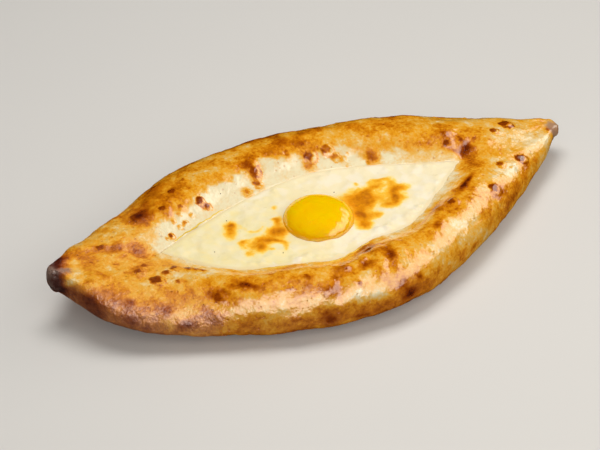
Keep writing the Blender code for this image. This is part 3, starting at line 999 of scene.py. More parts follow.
def cheese_relief_tree():
    """Soft curds, fine bubbles and slightly raised browned skin on the plain pool."""
    n = Nodes.group(
        "Cheese Relief",
        "GeometryNodeTree",
        (
            ("Pool", SHAPE),
            ("Finish", FINISH),
            ("Curd Height", SCALAR, 0.0013),
            ("Curd Size", SCALAR, 0.010),
            ("Bubble Height", SCALAR, 0.0019),
            ("Bubble Spacing", SCALAR, 0.006),
            ("Skin Height", SCALAR, 0.00035),
            ("Skin Size", SCALAR, 0.0028),
        ),
        OUT_SHAPE,
    )
    inlet = n.inlet
    place = n.position()
    curds = n.swing(place, inlet["Curd Size"], 1.0, 0.4, 0.2)
    height = n.times(curds, n.times(inlet["Curd Height"], 2.0))
    cells = n.add(
        "ShaderNodeTexVoronoi",
        {"Vector": place, "Scale": n.inverse(inlet["Bubble Spacing"]), "Smoothness": 0.6},
        feature="SMOOTH_F1",
    ).outputs["Distance"]
    domes = n.times(n.span(cells, 0.6, 0.0), n.named("bubbly"))
    height = n.times_plus(domes, inlet["Bubble Height"], height)
    wrinkles = n.times(n.noise(place, inlet["Skin Size"], 2.0), n.span(n.named("brown"), 0.2, 0.8))
    height = n.times_plus(wrinkles, inlet["Skin Height"], height)
    height = n.times(height, n.named("open"))
    up = n.add("ShaderNodeCombineXYZ", {"Z": height}).outputs[0]
    moved = n.add("GeometryNodeSetPosition", {"Geometry": inlet["Pool"], "Offset": up})
    finish_tree(n, moved.outputs["Geometry"])
    return n.tree


def bead_tree():
    """A bead of varying thickness along a line, such as melted butter in a seam."""
    n = Nodes.group(
        "Melted Bead",
        "GeometryNodeTree",
        (
            ("Line", SHAPE),
            ("Finish", FINISH),
            ("Thickness", SCALAR, 0.0009),
            ("Step", SCALAR, 0.0007),
            ("Unevenness", SCALAR, 0.9),
            ("Sides", WHOLE, 10),
        ),
        OUT_SHAPE,
    )
    line = n.add("GeometryNodeMeshToCurve", {"Mesh": n.inlet["Line"]}).outputs["Curve"]
    fine = n.add("GeometryNodeResampleCurve", {"Curve": line, "Length": n.inlet["Step"]}, mode="LENGTH")
    place = n.position()
    wander = n.swing(place, 0.007, 1.5)
    thick = n.times_plus(n.times(wander, 2.0), n.inlet["Unevenness"], 1.0)
    share = n.add("GeometryNodeSplineParameter").outputs["Factor"]
    ends = n.times(n.span(share, 0.0, 0.08), n.span(share, 1.0, 0.92))
    thick = n.times(n.most(thick, 0.25), n.most(ends, 0.02))
    profile = n.add(
        "GeometryNodeCurvePrimitiveCircle",
        {"Resolution": n.inlet["Sides"], "Radius": n.times(n.inlet["Thickness"], 0.5)},
    ).outputs["Curve"]
    values = {"Curve": fine.outputs["Curve"], "Profile Curve": profile, "Scale": thick, "Fill Caps": True}
    swept = n.add("GeometryNodeCurveToMesh", values).outputs["Mesh"]
    finish_tree(n, swept)
    return n.tree


def crumb_tree():
    """Loose crumbs, one on each point, each with its own size and turn."""
    n = Nodes.group(
        "Crumbs",
        "GeometryNodeTree",
        (
            ("Places", SHAPE),
            ("Finish", FINISH),
            ("Size", SCALAR, 0.0006),
            ("Seed", WHOLE, 3),
        ),
        OUT_SHAPE,
    )
    ball = n.add("GeometryNodeMeshIcoSphere", {"Radius": 1.0, "Subdivisions": 2}).outputs["Mesh"]
    seed = {"Seed": n.inlet["Seed"]}
    full = (6.28, 6.28, 6.28)
    turn = n.add("FunctionNodeRandomValue", {1: full, **seed}, data_type="FLOAT_VECTOR")
    size = n.add("FunctionNodeRandomValue", {2: 0.35, 3: 0.65, **seed}, data_type="FLOAT")
    flat = n.add("ShaderNodeCombineXYZ", {"X": 1.3, "Y": 0.8, "Z": 0.6}).outputs[0]
    flat = n.scaled(flat, n.times(size.outputs[1], n.inlet["Size"]))
    points = n.add("GeometryNodeMeshToPoints", {"Mesh": n.inlet["Places"]}).outputs["Points"]
    values = {"Points": points, "Instance": ball, "Rotation": turn.outputs[0], "Scale": flat}
    finish_tree(n, n.add("GeometryNodeInstanceOnPoints", values).outputs["Instances"])
    return n.tree


# ---------------------------------------------------------------------------------------------
# Shader groups that more than one finish uses, and the finishes.

# How wide the changes of the crust's tone are, in metres.
DRIFT_SIZE, MOTTLE_SIZE, STIPPLE_SIZE, FLECK_SIZE = 0.019, 0.0075, 0.0032, 0.0014
TONE_STOPS = {
    "pale": 0.0,
    "straw": 0.22,
    "golden": 0.38,
    "amber": 0.55,
    "brown": 0.76,
    "dark": 0.93,
    "burnt": 1.0,
}
TOAST_STOPS = {"butter": 0.08, "crisp": 0.32, "toast": 0.62, "amber": 0.95}


# How far each mark takes the crust's tone towards burnt, and how much pits, grey bloom and painted
# highlight hide of it.
HALO_TONE, CREASE_TONE, CHAR_TONE, CHAR_FLECK = 0.12, 0.06, 0.86, 0.25
PIT_STAIN, ASH_AND_GLINT_COVER = 0.35, 0.8
# Roughness of the washed and the missed skin, and what duller and darker places add to it.
MISSED_ROUGHNESS, WASHED_ROUGHNESS = 0.22, 0.11
UNGLAZED_ROUGHER, MATT_ROUGHER, DARK_ROUGHER = 0.04, 0.24, -0.08
MATT_COARSER = 3.6


def tones(look, stops):
    """The stops of a ramp, with their colours taken from the settings of the same names."""
    return [(place, getattr(look, name)) for name, place in stops.items()]


def ragged_edge_group():
    """Turns a soft mask into one with a ragged edge and a soft halo."""
    n = Nodes.group(
        "Ragged Edge",
        "ShaderNodeTree",
        (
            ("Place", VECTOR),
            ("Mask", SCALAR, 0.0),
            ("Raggedness", SCALAR, 0.5),
            ("Size", SCALAR, 0.003),
            ("Low", SCALAR, 0.3),
            ("High", SCALAR, 0.6),
        ),
        (("Mask", SCALAR),),
    )
    grit = n.swing(n.inlet["Place"], n.inlet["Size"], 4.0, 0.6)
    value = n.times_plus(grit, n.inlet["Raggedness"], n.inlet["Mask"])
    n.put(n.outlet.inputs["Mask"], n.span(value, n.inlet["Low"], n.inlet["High"]))
    return n.tree


def baked_grain_group():
    """Fine surface relief of a baked skin: low swellings, grain and pin holes, in metres."""
    n = Nodes.group(
        "Baked Grain",
        "ShaderNodeTree",
        (
            ("Place", VECTOR),
            ("Grain Size", SCALAR, 0.0012),
            ("Grain Height", SCALAR, 0.00013),
            ("Pit Spacing", SCALAR, 0.0028),
            ("Pit Depth", SCALAR, 0.00012),
        ),
        (("Height", SCALAR), ("Pits", SCALAR)),
    )
    place = n.inlet["Place"]
    grain = n.times(n.noise(place, n.inlet["Grain Size"], 2.0, 0.5), n.inlet["Grain Height"])
    wide = n.times(n.inlet["Grain Size"], 3.5)
    grain = n.times_plus(n.noise(place, wide, 1.0), n.times(n.inlet["Grain Height"], 1.5), grain)
    scale = n.inverse(n.inlet["Pit Spacing"])
    cells = n.add("ShaderNodeTexVoronoi", {"Vector": place, "Scale": scale})
    chance = n.add("ShaderNodeSeparateColor", {0: cells.outputs["Color"]}).outputs[0]
    width = n.span(chance, 0.4, 1.0, 0.0, 0.3, False)
    pits = n.span(n.minus(width, cells.outputs["Distance"]), 0.0, 0.1)
    height = n.times_plus(pits, n.times(n.inlet["Pit Depth"], -1.0), grain)
    n.fill(n.outlet, {"Height": height, "Pits": pits})
    return n.tree


def shared_group(build):
    """The group that a function builds, built only the first time."""
    name = build.__name__.removesuffix("_group").replace("_", " ").title()
    return bpy.data.node_groups.get(name) or build()


def new_finish(name):
    """A new material, its node tree, its shader, and places on the piece in metres."""
    material = bpy.data.materials.new(name)
    material.use_nodes = True
    n = Nodes(material.node_tree)
    shader = material.node_tree.nodes["Principled BSDF"]
    place = n.add("ShaderNodeTexCoord").outputs["Object"]
    return material, n, shader, place


def bump(n, shader, height):
    """Relief by a height in metres."""
    node = n.add("ShaderNodeBump", {"Height": height, "Distance": 1.0, "Strength": 1.0})
    n.put(shader.inputs["Normal"], node.outputs["Normal"])


def let_light_in(n, shader, weight, radius, reach):
    """Light that spreads under the surface: how much, how far for each colour, and in metres."""
    values = {"Subsurface Weight": weight, "Subsurface Radius": radius, "Subsurface Scale": reach}
    n.fill(shader, values)


def crust_finish(look, ragged, grain):
    """Crust from pale to burnt by its tone, glossy where the butter washed it and dry elsewhere."""
    material, n, shader, place = new_finish("Baked Crust")
    drift = n.swing(place, DRIFT_SIZE)
    mottle = n.swing(place, MOTTLE_SIZE, 2.0, 0.45)
    stipple = n.swing(place, STIPPLE_SIZE, 2.0, 0.6, 0.5)
    fleck = n.swing(place, FLECK_SIZE, 3.0, 0.6)
    base = n.times_plus(n.attribute("halo"), HALO_TONE, n.attribute("bake"))
    change = n.times(drift, look.drift)
    change = n.times_plus(mottle, look.mottle, change)
    change = n.times_plus(stipple, look.stipple, change)
    change = n.times_plus(fleck, look.fleck, change)
    change = n.times(change, n.span(base, 0.42, 0.72, 1.0, 0.5))
    tone = n.times_plus(change, n.span(base, 0.0, 0.4, 0.35, 1.0, False), base)
    tone = n.times_plus(n.attribute("crease"), CREASE_TONE, tone)
    edges = {"Raggedness": 0.45, "Size": 0.0022, "Low": 0.08, "High": 0.92}
    stain = n.use(ragged, Place=place, Mask=n.attribute("char"), **edges).outputs["Mask"]
    tone = n.most(tone, n.times_plus(fleck, CHAR_FLECK, n.times(stain, CHAR_TONE)))
    colour = n.ramp(tone, tones(look, TONE_STOPS))
    relief = n.use(grain, Place=place)
    pits = n.times(relief.outputs["Pits"], PIT_STAIN)
    colour = n.mix(pits, colour, look.amber, "MULTIPLY")
    # The grey of dry bloom on the tips and of painted highlights on two dark blisters' tops.
    edges = {"Raggedness": 0.9, "Size": 0.0018, "Low": 0.25, "High": 0.9}
    ash = n.use(ragged, Place=place, Mask=n.attribute("ash"), **edges)
    ash = n.times(ash.outputs["Mask"], ASH_AND_GLINT_COVER)
    washed = n.times(n.span(drift, 0.3, 0.02), n.attribute("glaze"))
    washed = n.times(washed, n.span(fleck, -0.4, 0.3, 1.0, 0.8))
    sheen = n.span(washed, 0.0, 1.0, MISSED_ROUGHNESS, WASHED_ROUGHNESS, False)
    dull = n.span(n.attribute("glaze"), 0.2, 1.0, UNGLAZED_ROUGHER, 0.0, False)
    matt = n.attribute("matt")
    dull = n.times_plus(matt, MATT_ROUGHER, dull)
    dull = n.times_plus(n.span(tone, 0.6, 0.85), DARK_ROUGHER, dull)
    n.fill(shader, {"Base Color": n.mix(ash, colour, look.ash), "Roughness": n.plus(sheen, dull)})
    n.fill(shader, {"Specular IOR Level": 1.0, "IOR": 1.8})
    coarser = n.span(matt, 0.0, 1.0, 1.0, MATT_COARSER, False)
    bump(n, shader, n.times(relief.outputs["Height"], coarser))
    return material


def cheese_finish(look, grain):
    """Set egg white and curds, yellower with whey towards the left, browned in places."""
    material, n, shader, place = new_finish("Baked Cheese")
    split = n.add("ShaderNodeSeparateXYZ", {0: place})
    whey = n.span(n.times_plus(n.noise(place, 0.02, 2.0), 0.05, split.outputs["X"]), 0.045, -0.03)
    mottle = n.noise(place, 0.006, 3.0, 0.55)
    white = n.mix(whey, look.white, look.cream)
    white = n.mix(n.times(n.span(mottle, 0.42, 0.75, 0.0, 0.4), whey), white, look.butter)
    lump = n.span(n.noise(place, 0.0075, 2.0, 0.45, 0.3), 0.44, 0.64, 0.0, 0.85)
    lump = n.times(lump, n.most(n.attribute("bubbly"), n.span(whey, 0.0, 1.0, 0.7, 0.3)))
    white = n.mix(lump, white, look.curd)
    # Painted shade: the cheese turns beige along the crust, where the seam lies in shadow.
    white = n.mix(n.span(n.attribute("open"), 0.7, 0.0, 0.0, 0.5), white, look.edge)
    brown = n.attribute("brown")
    white = n.mix(n.span(brown, 0.02, 0.35, 0.0, 0.8), white, look.ring)
    coarse = n.swing(place, 0.006, 3.0, 0.6, 0.6)
    fine = n.swing(place, 0.0022, 3.0, 0.6)
    change = n.times_plus(coarse, 0.7, n.times(fine, 0.5))
    change = n.times(change, n.span(brown, 0.0, 0.3, 0.3, 1.0))
    toast = n.times_plus(brown, 0.72, change)
    colour = n.mix(n.span(toast, 0.03, 0.22), white, n.ramp(toast, tones(look, TOAST_STOPS)))
    roughness = n.span(mottle, 0.3, 0.7, 0.26, 0.42, False)
    n.fill(shader, {"Base Color": colour, "Roughness": roughness, "Specular IOR Level": 0.3})
    let_light_in(n, shader, 0.12, (1.0, 0.8, 0.5), 0.003)
    sizes = {"Grain_Size": 0.0024, "Grain_Height": 0.00012, "Pit_Spacing": 0.005, "Pit_Depth": 0.00008}
    relief = n.use(grain, Place=place, **sizes)
    bump(n, shader, relief.outputs["Height"])
    return material


def yolk_finish(look):
    """Glossy yolk that lets light in, deeper in colour at its rim and in cloudy places."""
    material, n, shader, place = new_finish("Egg Yolk")
    edge = n.span(n.attribute("rim"), 0.88, 1.0)
    cloudy = n.noise(place, 0.012, 2.0)
    colour = n.mix(edge, look.middle, look.edge)
    colour = n.mix(n.span(cloudy, 0.5, 0.8, 0.0, 0.35), colour, look.edge)
    roughness = n.span(cloudy, 0.3, 0.7, 0.12, 0.2, False)
    n.fill(shader, {"Base Color": colour, "Roughness": roughness})
    n.fill(shader, {"Specular IOR Level": 1.0, "IOR": 1.7})
    let_light_in(n, shader, 0.8, (1.0, 0.5, 0.05), 0.005)
    skin = n.times(n.noise(place, 0.009, 2.0, 0.5, 0.6), 0.0009)
    bump(n, shader, skin)
    return material


def plain_finish(name, colour, roughness, coat=0.0, spread=0.15, size=0.003):
    """One colour with a little drift in tone, for small or plain pieces."""
    material, n, shader, place = new_finish(name)
    shade = n.span(n.noise(place, size, 3.0), 0.3, 0.7, 1.0 - spread, 1.0)
    tint = n.add("ShaderNodeCombineColor", {0: shade, 1: shade, 2: shade}).outputs[0]
    tinted = n.mix(1.0, colour, tint, "MULTIPLY")
    n.fill(shader, {"Base Color": tinted, "Roughness": roughness, "Coat Weight": coat})
    return material


# ---------------------------------------------------------------------------------------------
# What a user would change.


def number_property(name, description, default, **kind):
    return FloatProperty(name=name, description=description, default=default, **kind)


def colour_property(name, description, default):
    kind = {"size": 3, "min": 0, "max": 1, "subtype": "COLOR"}
    return FloatVectorProperty(name=name, description=description, default=default, **kind)


def length_property(name, description, default):
    return number_property(name, description, default, unit="LENGTH", subtype="DISTANCE", precision=5)


def angle_property(name, description, degrees):
    return number_property(name, description, math.radians(degrees), unit="ROTATION", subtype="ANGLE")


def power_property(name, description, default):
    return number_property(name, description, default, min=0, unit="POWER")


class CrustLook(bpy.types.PropertyGroup):
    pale: colour_property("Pale", "Dough that the heat hardly reached", (0.86, 0.765, 0.50))
    straw: colour_property("Straw", "Lightly baked crust", (0.84, 0.48, 0.09))
    golden: colour_property("Golden", "Evenly baked crust", (0.84, 0.37, 0.016))
    amber: colour_property("Amber", "Well baked crust", (0.66, 0.21, 0.003))
    brown: colour_property("Brown", "Browned crust", (0.34, 0.068, 0.001))
    dark: colour_property("Dark", "Dark blisters", (0.15, 0.019, 0.001))
    burnt: colour_property("Burnt", "Charred spots and tips", (0.075, 0.010, 0.003))
    # Grey of the dry bloom, and of the painted highlights on two dark blisters.
    ash: colour_property("Ash", "Dry grey bloom on the scorched places", (0.34, 0.22, 0.17))
    drift: number_property("Drift", "How much the tone changes over broad areas", 0.5)
    mottle: number_property("Mottle", "How much the tone changes from patch to patch", 0.75)
    stipple: number_property("Stipple", "How much the tone changes within a patch", 0.55)
    fleck: number_property("Fleck", "How much the tone changes from grain to grain", 0.55)
    lump_height: length_property("Lump height", "Rise of the broad lumps in the rim", 0.0020)
    lump_size: length_property("Lump size", "Length of the broad lumps", 0.024)
    ripple_height: length_property("Ripple height", "Rise of the ripples in the skin", 0.00048)
    ripple_size: length_property("Ripple size", "Length of the ripples", 0.0080)
    grain_height: length_property("Grain height", "Rise of the skin's grain", 0.00022)
    blister_height: length_property("Small blister height", "Rise of the scattered blisters", 0.0007)


class CheeseLook(bpy.types.PropertyGroup):
    white: colour_property("White", "Set egg white and cheese", (0.83, 0.74, 0.50))
    cream: colour_property("Cream", "Cheese with whey and butter in it", (0.79, 0.70, 0.40))
    curd: colour_property("Curd", "Soft white lumps", (0.85, 0.79, 0.64))
    ring: colour_property("Ring", "Buttery yellow round the browned patches", (0.82, 0.62, 0.18))
    butter: colour_property("Butter", "Buttery patches", (0.93, 0.72, 0.22))
    # Painted shade: the beige that the cheese turns along the crust's seam.
    edge: colour_property("Edge", "Duller cheese along the crust", (0.72, 0.58, 0.34))
    crisp: colour_property("Crisp", "Golden skin round the browned patches", (0.88, 0.47, 0.035))
    toast: colour_property("Toast", "Browned skin on the cheese", (0.73, 0.27, 0.004))
    amber: colour_property("Amber", "Darkest spots of the browned skin", (0.42, 0.12, 0.003))
    curd_height: length_property("Curd height", "Rise of the soft curds", 0.0013)
    bubble_height: length_property("Bubble height", "Rise of the small bubbles", 0.0019)


class YolkLook(bpy.types.PropertyGroup):
    middle: colour_property("Middle", "The yolk's top", (1.0, 0.585, 0.0))
    edge: colour_property("Edge", "The yolk's rim", (1.0, 0.46, 0.0))


class StageLook(bpy.types.PropertyGroup):
    azimuth: angle_property("Azimuth", "Camera's direction, from the front towards the right", -27.7)
    elevation: angle_property("Elevation", "Camera's height above the table, as an angle", 38.0)
    distance: length_property("Distance", "From the camera to the loaf's middle", 1.1)
    lens: number_property("Lens", "Focal length, in millimetres", 124.09)
    key_power: power_property("Key light", "Power of the soft light on the right", 3.9)
    front_power: power_property("Front light", "Power of the soft light in front", 2.4)
    sheen_power: power_property("Front sheen", "Power of the light mirrored in the washed crust", 2.8)
    fill_power: power_property("Fill light", "Power of the soft light overhead", 6.9)
    ambient: number_property("Ambient", "Strength of the room's pale light", 0.08)
    floor: colour_property("Floor", "The pale table", (0.57, 0.56, 0.54))
    floor_glow: number_property("Floor glow", "Keeps the table pale beyond the lamps' reach", 0.08, min=0)


class Builder:
    bl_options = {"REGISTER", "UNDO"}


class BREAD_OT_crust(Builder, bpy.types.Operator):
    """Make the baked crust with its rim, tips, blisters and folds"""

    bl_idname = "bread.crust"
    bl_label = "Crust"

    def execute(self, context):
        look = context.scene.bread_crust
        mesh = crust_mesh()
        surface = BVHTree.FromPolygons([v.co for v in mesh.vertices], [p.vertices for p in mesh.polygons])
        blisters = blister_points(surface)
        creases = crease_lines(surface)
        base = new_object("plain_loaf", mesh)
        finish = crust_finish(look, shared_group(ragged_edge_group), shared_group(baked_grain_group))
        inputs = {
            "Blisters": blisters,
            "Creases": creases,
            "Finish": finish,
            "Lump Height": look.lump_height,
            "Lump Size": look.lump_size,
            "Ripple Height": look.ripple_height,
            "Ripple Size": look.ripple_size,
            "Grain Height": look.grain_height,
            "Small Blister Height": look.blister_height,
        }
        shaped = apply_tree(base, crust_relief_tree(), inputs)
        discard(base, blisters, creases)
        place_piece("crust_skin", shaped, "crust")
        return {"FINISHED"}


class BREAD_OT_cheese(Builder, bpy.types.Operator):
    """Make the pool of baked cheese and egg white"""

    bl_idname = "bread.cheese"
    bl_label = "Cheese"

    def execute(self, context):
        look = context.scene.bread_cheese
        base = new_object("plain_pool", cheese_mesh())
        inputs = {
            "Finish": cheese_finish(look, shared_group(baked_grain_group)),
            "Curd Height": look.curd_height,
            "Bubble Height": look.bubble_height,
        }
        shaped = apply_tree(base, cheese_relief_tree(), inputs)
        discard(base)
        place_piece("baked_cheese", shaped, "filling")
        return {"FINISHED"}


class BREAD_OT_yolk(Builder, bpy.types.Operator):
    """Make the whole egg yolk, set in the cheese"""

    bl_idname = "bread.yolk"
    bl_label = "Yolk"

    def execute(self, context):
        mesh = yolk_mesh()
        mesh.materials.append(yolk_finish(context.scene.bread_yolk))
        place_piece("egg_yolk", mesh, "yolk")
        return {"FINISHED"}


class BREAD_OT_butter(Builder, bpy.types.Operator):
    """Make the bead of melted butter in the seam behind the cheese"""

    bl_idname = "bread.butter"
    bl_label = "Butter"

    def execute(self, context):
        tree = bead_tree()
        finish = plain_finish("Melted Butter", (0.86, 0.60, 0.07), roughness=0.18, coat=0.6)
        for name, side, start, end, thickness in BUTTER_SEAMS:
            base = new_object("seam_line", seam_line(side, start, end))
            shaped = apply_tree(base, tree, {"Finish": finish, "Thickness": thickness * MM})
            discard(base)
            place_piece(name, shaped)
        return {"FINISHED"}


class BREAD_OT_crumbs(Builder, bpy.types.Operator):
    """Scatter the few dark specks that lie on the cheese and the crust"""

    bl_idname = "bread.crumbs"
    bl_label = "Crumbs"

    def execute(self, context):
        base = new_object("crumb_places", crumb_points())
        finish = plain_finish("Charred Crumb", (0.05, 0.025, 0.015), roughness=0.7)
        shaped = apply_tree(base, crumb_tree(), {"Finish": finish})
        discard(base)
        place_piece("charred_crumbs", shaped)
        return {"FINISHED"}


class BREAD_OT_stage(Builder, bpy.types.Operator):
    """Set the pale table, the soft lights and the camera"""

    bl_idname = "bread.stage"
    bl_label = "Stage"

    def execute(self, context):
        look = context.scene.bread_stage
        scene = context.scene
        make_floor(look)
        make_camera(scene, look)
        world = bpy.data.worlds.new("Soft Room")
        world.use_nodes = True
        scene.world = world
        light = {"Color": (*PALE_LIGHT, 1.0), "Strength": look.ambient}
        Nodes(world.node_tree).fill(world.node_tree.nodes["Background"], light)
        world.cycles_visibility.glossy = False
        for name, power, direction, distance, size, colour, mirrored in LAMPS:
            lamp = soft_light(name, getattr(look, power), direction, distance, size, colour)
            lamp.visible_glossy = mirrored
        shine_only_on(bpy.data.objects["front_sheen"], "crust_skin")
        scene.view_settings.view_transform = "Standard"
        return {"FINISHED"}


# ---------------------------------------------------------------------------------------------
# The pieces' plain meshes.

# Tone (0 pale, 1 burnt) round a section of each rim: place numbers, then the tones there.
BACK_TONE = (
    (0, 0.54, 0.66, 0.95, 1.3, 1.7, 2.2, 3, 4),
    (0.03, 0.0, 0.34, 0.42, 0.44, 0.46, 0.46, 0.52, 0.55),
)
# The front rim darkens towards the table, partly from a deeper bake and partly as painted shade.
FRONT_TONE = (
    (0, 0.2, 0.55, 0.9, 1.3, 1.7, 2.1, 3, 4),
    (0.10, 0.26, 0.42, 0.42, 0.38, 0.47, 0.56, 0.68, 0.6),
)
END_TONE = {LEFT: 0.40, RIGHT: 0.27}
BACK_RIGHT_TONE = 0.38
BLISTERED_EVERYWHERE = 0.14


def matt_skin(plan_x, girth, side):
    """How dry the skin is: the loaf's left end, and a few places on the near side."""
    dry = smooth(-plan_x, 84, 98) + 0.1 * smooth(-plan_x, 10, 45)
    dry = dry + cloud_field(plan_x, girth, DRY_SKIN) * (side == FRONT)
    return np.clip(dry, 0, 1)


def girth_from_top(points, place, side):
    """Distance over the skin from the top of each rim, in millimetres, outwards positive."""
    steps = np.linalg.norm(np.diff(points, axis=1), axis=2)
    arc = np.concatenate([np.zeros((len(points), 1)), np.cumsum(steps, 1)], 1)
    girth = np.zeros(arc.shape)
    for own in (BACK, FRONT):
        top = int(np.argmin(np.where(side == own, np.abs(place - 1), np.inf)))
        girth = np.where(side == own, own * (arc[:, top : top + 1] - arc), girth)
    return girth


def plain_tone(x, plan_x, y, place, side, beyond):
    """The tone before its marks: round a section, at the ends, and on the sides, with painted shade low
    on the front.
    """
    back, front = side == BACK, side == FRONT
    wobble = 0.07 * np.sin(plan_x / 6.3 + 1.0) + 0.05 * np.sin(plan_x / 2.9 + y / 4.1)
    wobble = wobble + 0.08 * np.sin(plan_x / 13.7)
    wobble = wobble + 0.04 * np.sin(plan_x / 1.3 + y / 1.9 + np.sin(plan_x / 4.7))
    wavy = place + wobble * (place > 0) * (place < 1.2)
    tone = np.where(back, np.interp(wavy, *BACK_TONE), np.interp(wavy, *FRONT_TONE))
    # The back rim's right half is evenly golden inside, and both ends have a tone of their own.
    right = smooth(plan_x, 22, 46) * back * (place < 1)
    tone = tone + (BACK_RIGHT_TONE - tone) * right * smooth(wavy, 0.12, 0.4)
    for end, own in END_TONE.items():
        ends = smooth(end * x / HALF_LENGTH, 0.52, 0.72) * np.maximum(smooth(place, 0.1, 0.4), beyond)
        tone = tone + (own - tone) * ends * (1 - smooth(place, 1.2, 1.75))
    # The front side is paler low down on the right, darker low down by the left tip, which is painted
    # shade, and darker inside.
    tone = tone - 0.34 * tone * front * smooth(plan_x, 20, 60) * smooth(place, 1.5, 2.0)
    tone = tone + 0.04 * front * smooth(-plan_x, 86, 104) * smooth(place, 1.25, 1.6)
    middle = smooth(-plan_x, -20, 0) * smooth(-plan_x, 76, 60)
    return tone + 0.16 * front * middle * smooth(place, 0.6, 0.2)


def crust_mesh():
    """The loaf's plain skin, with its tone (how far each place is baked, with painted highlight and shade
    on the front side) and where it may be blistered.
    """
    points, place, side = loaf_grid()
    x, z = points[..., 0] - SHIFT.x, points[..., 2] - SHIFT.z
    plan_x, y = points[..., 0], points[..., 1]
    girth = girth_from_top(points, place, side)
    place = np.broadcast_to(place, x.shape)
    side = np.broadcast_to(side, x.shape)
    beyond = smooth(past_corner(x), 0.0, 3.0)
    off_table = 1 - smooth(place, 2.75, 3.0) * (1 - smooth(z, 0.5, 5.0))
    off_base = 1 - smooth(place, 2.2, 2.8)
    skin = np.maximum(smooth(place, -0.12, -0.02), beyond) * off_table
    skin = skin * (1 - 0.65 * smooth(np.abs(x) / HALF_LENGTH, 0.97, 1.0))
    tone = plain_tone(x, plan_x, y, place, side, beyond)
    tone = tone + cloud_field(plan_x, y, CLOUDS) * off_base
    marks = cloud_field(plan_x, girth, FRONT_CLOUDS) * (side == FRONT)
    tone = tone + marks * smooth(place, 0.0, 0.3)
    crowd = BLISTERED_EVERYWHERE + 0.5 * cloud_field(plan_x, y, BLISTERY)
    crowd = crowd * smooth(place, 0.2, 0.45) * (1 - 0.6 * smooth(place, 2.6, 3.0))
    attributes = {
        "bake": tone,
        "skin": skin,
        "inset": np.maximum(smooth(place, 0.0, 0.3), beyond) * off_table,
        "glaze": (1 - smooth(place, 1.7, 2.5)) * (0.3 + 0.7 * smooth(place, 0.3, 0.8)),
        "matt": matt_skin(plan_x, girth, side) * off_base,
        "blistered": np.clip(crowd, 0, 0.95),
        # Grey bloom on the tips, and painted highlights on two dark blisters.
        "ash": cloud_field(plan_x, y, ASH_AND_GLINTS) * off_base,
    }
    return mesh_from_grid("crust_skin", points, attributes)


def straight_down(x, y):
    """The start and direction of a ray down on a place of the plan."""
    return Vector((x * MM, y * MM, RAY_START)), Vector((0, 0, -1))


def on_top(surface, x, y):
    """The place on the surface over a place of the plan."""
    hit = surface.ray_cast(*straight_down(x, y))[0]
    if hit is None:
        raise ValueError(f"no surface under {x}, {y}")
    return hit


def blister_points(surface):
    """A point on the surface for each blister, with its sizes as attributes."""
    xs, ys, radii, rises, chars = zip(*BLISTERS)
    places = [on_top(surface, x, y) for x, y in zip(xs, ys)]
    attributes = {
        "radius": [radius * MM for radius in radii],
        "rise": [rise * MM for rise in rises],
        "char": chars,
        "dent": [0.0 if radius < DENTED_FROM else BLISTER_DENT for radius in radii],
    }
    return new_object("blister_marks", plain_mesh("blister_marks", places, attributes=attributes))


def crease_lines(surface):
    """Each fold's few points, joined by short straight steps laid on the surface."""
    places, edges = [], []
    for line in CREASES:
        points = np.array(line, float)
        steps = np.linspace(0, len(points) - 1, 8 * len(points))
        xs = curve(range(len(points)), points[:, 0], steps)
        ys = curve(range(len(points)), points[:, 1], steps)
        first = len(places)
        places += [on_top(surface, px, py) for px, py in zip(xs, ys)]
        edges += [(k, k + 1) for k in range(first, len(places) - 1)]
    return new_object("crease_lines", plain_mesh("crease_lines", places, edges))


POOL_STATIONS = 330
POOL_ACROSS = 128
PAN_POINTS = 10
POOL_OVERLAP = 1.8
POOL_LONGER = 0.6
POOL_RISE = 0.35
END_SKIP = 0.04  # how much of the even turning from end to end the stations leave out
EDGE_REACH = 4.2
EDGE_ROUNDING = 1.3
PAN_DROP, PAN_DEEPER = 1.0, 0.4
YOLK_SEAT = 0.25
COLLAR_RISE, COLLAR_WIDTH = 0.45, 2.2  # the cheese's low wall round the yolk
UNDER_YOLK = 1.6  # how far inside the yolk's edge the cheese has dipped to its underside


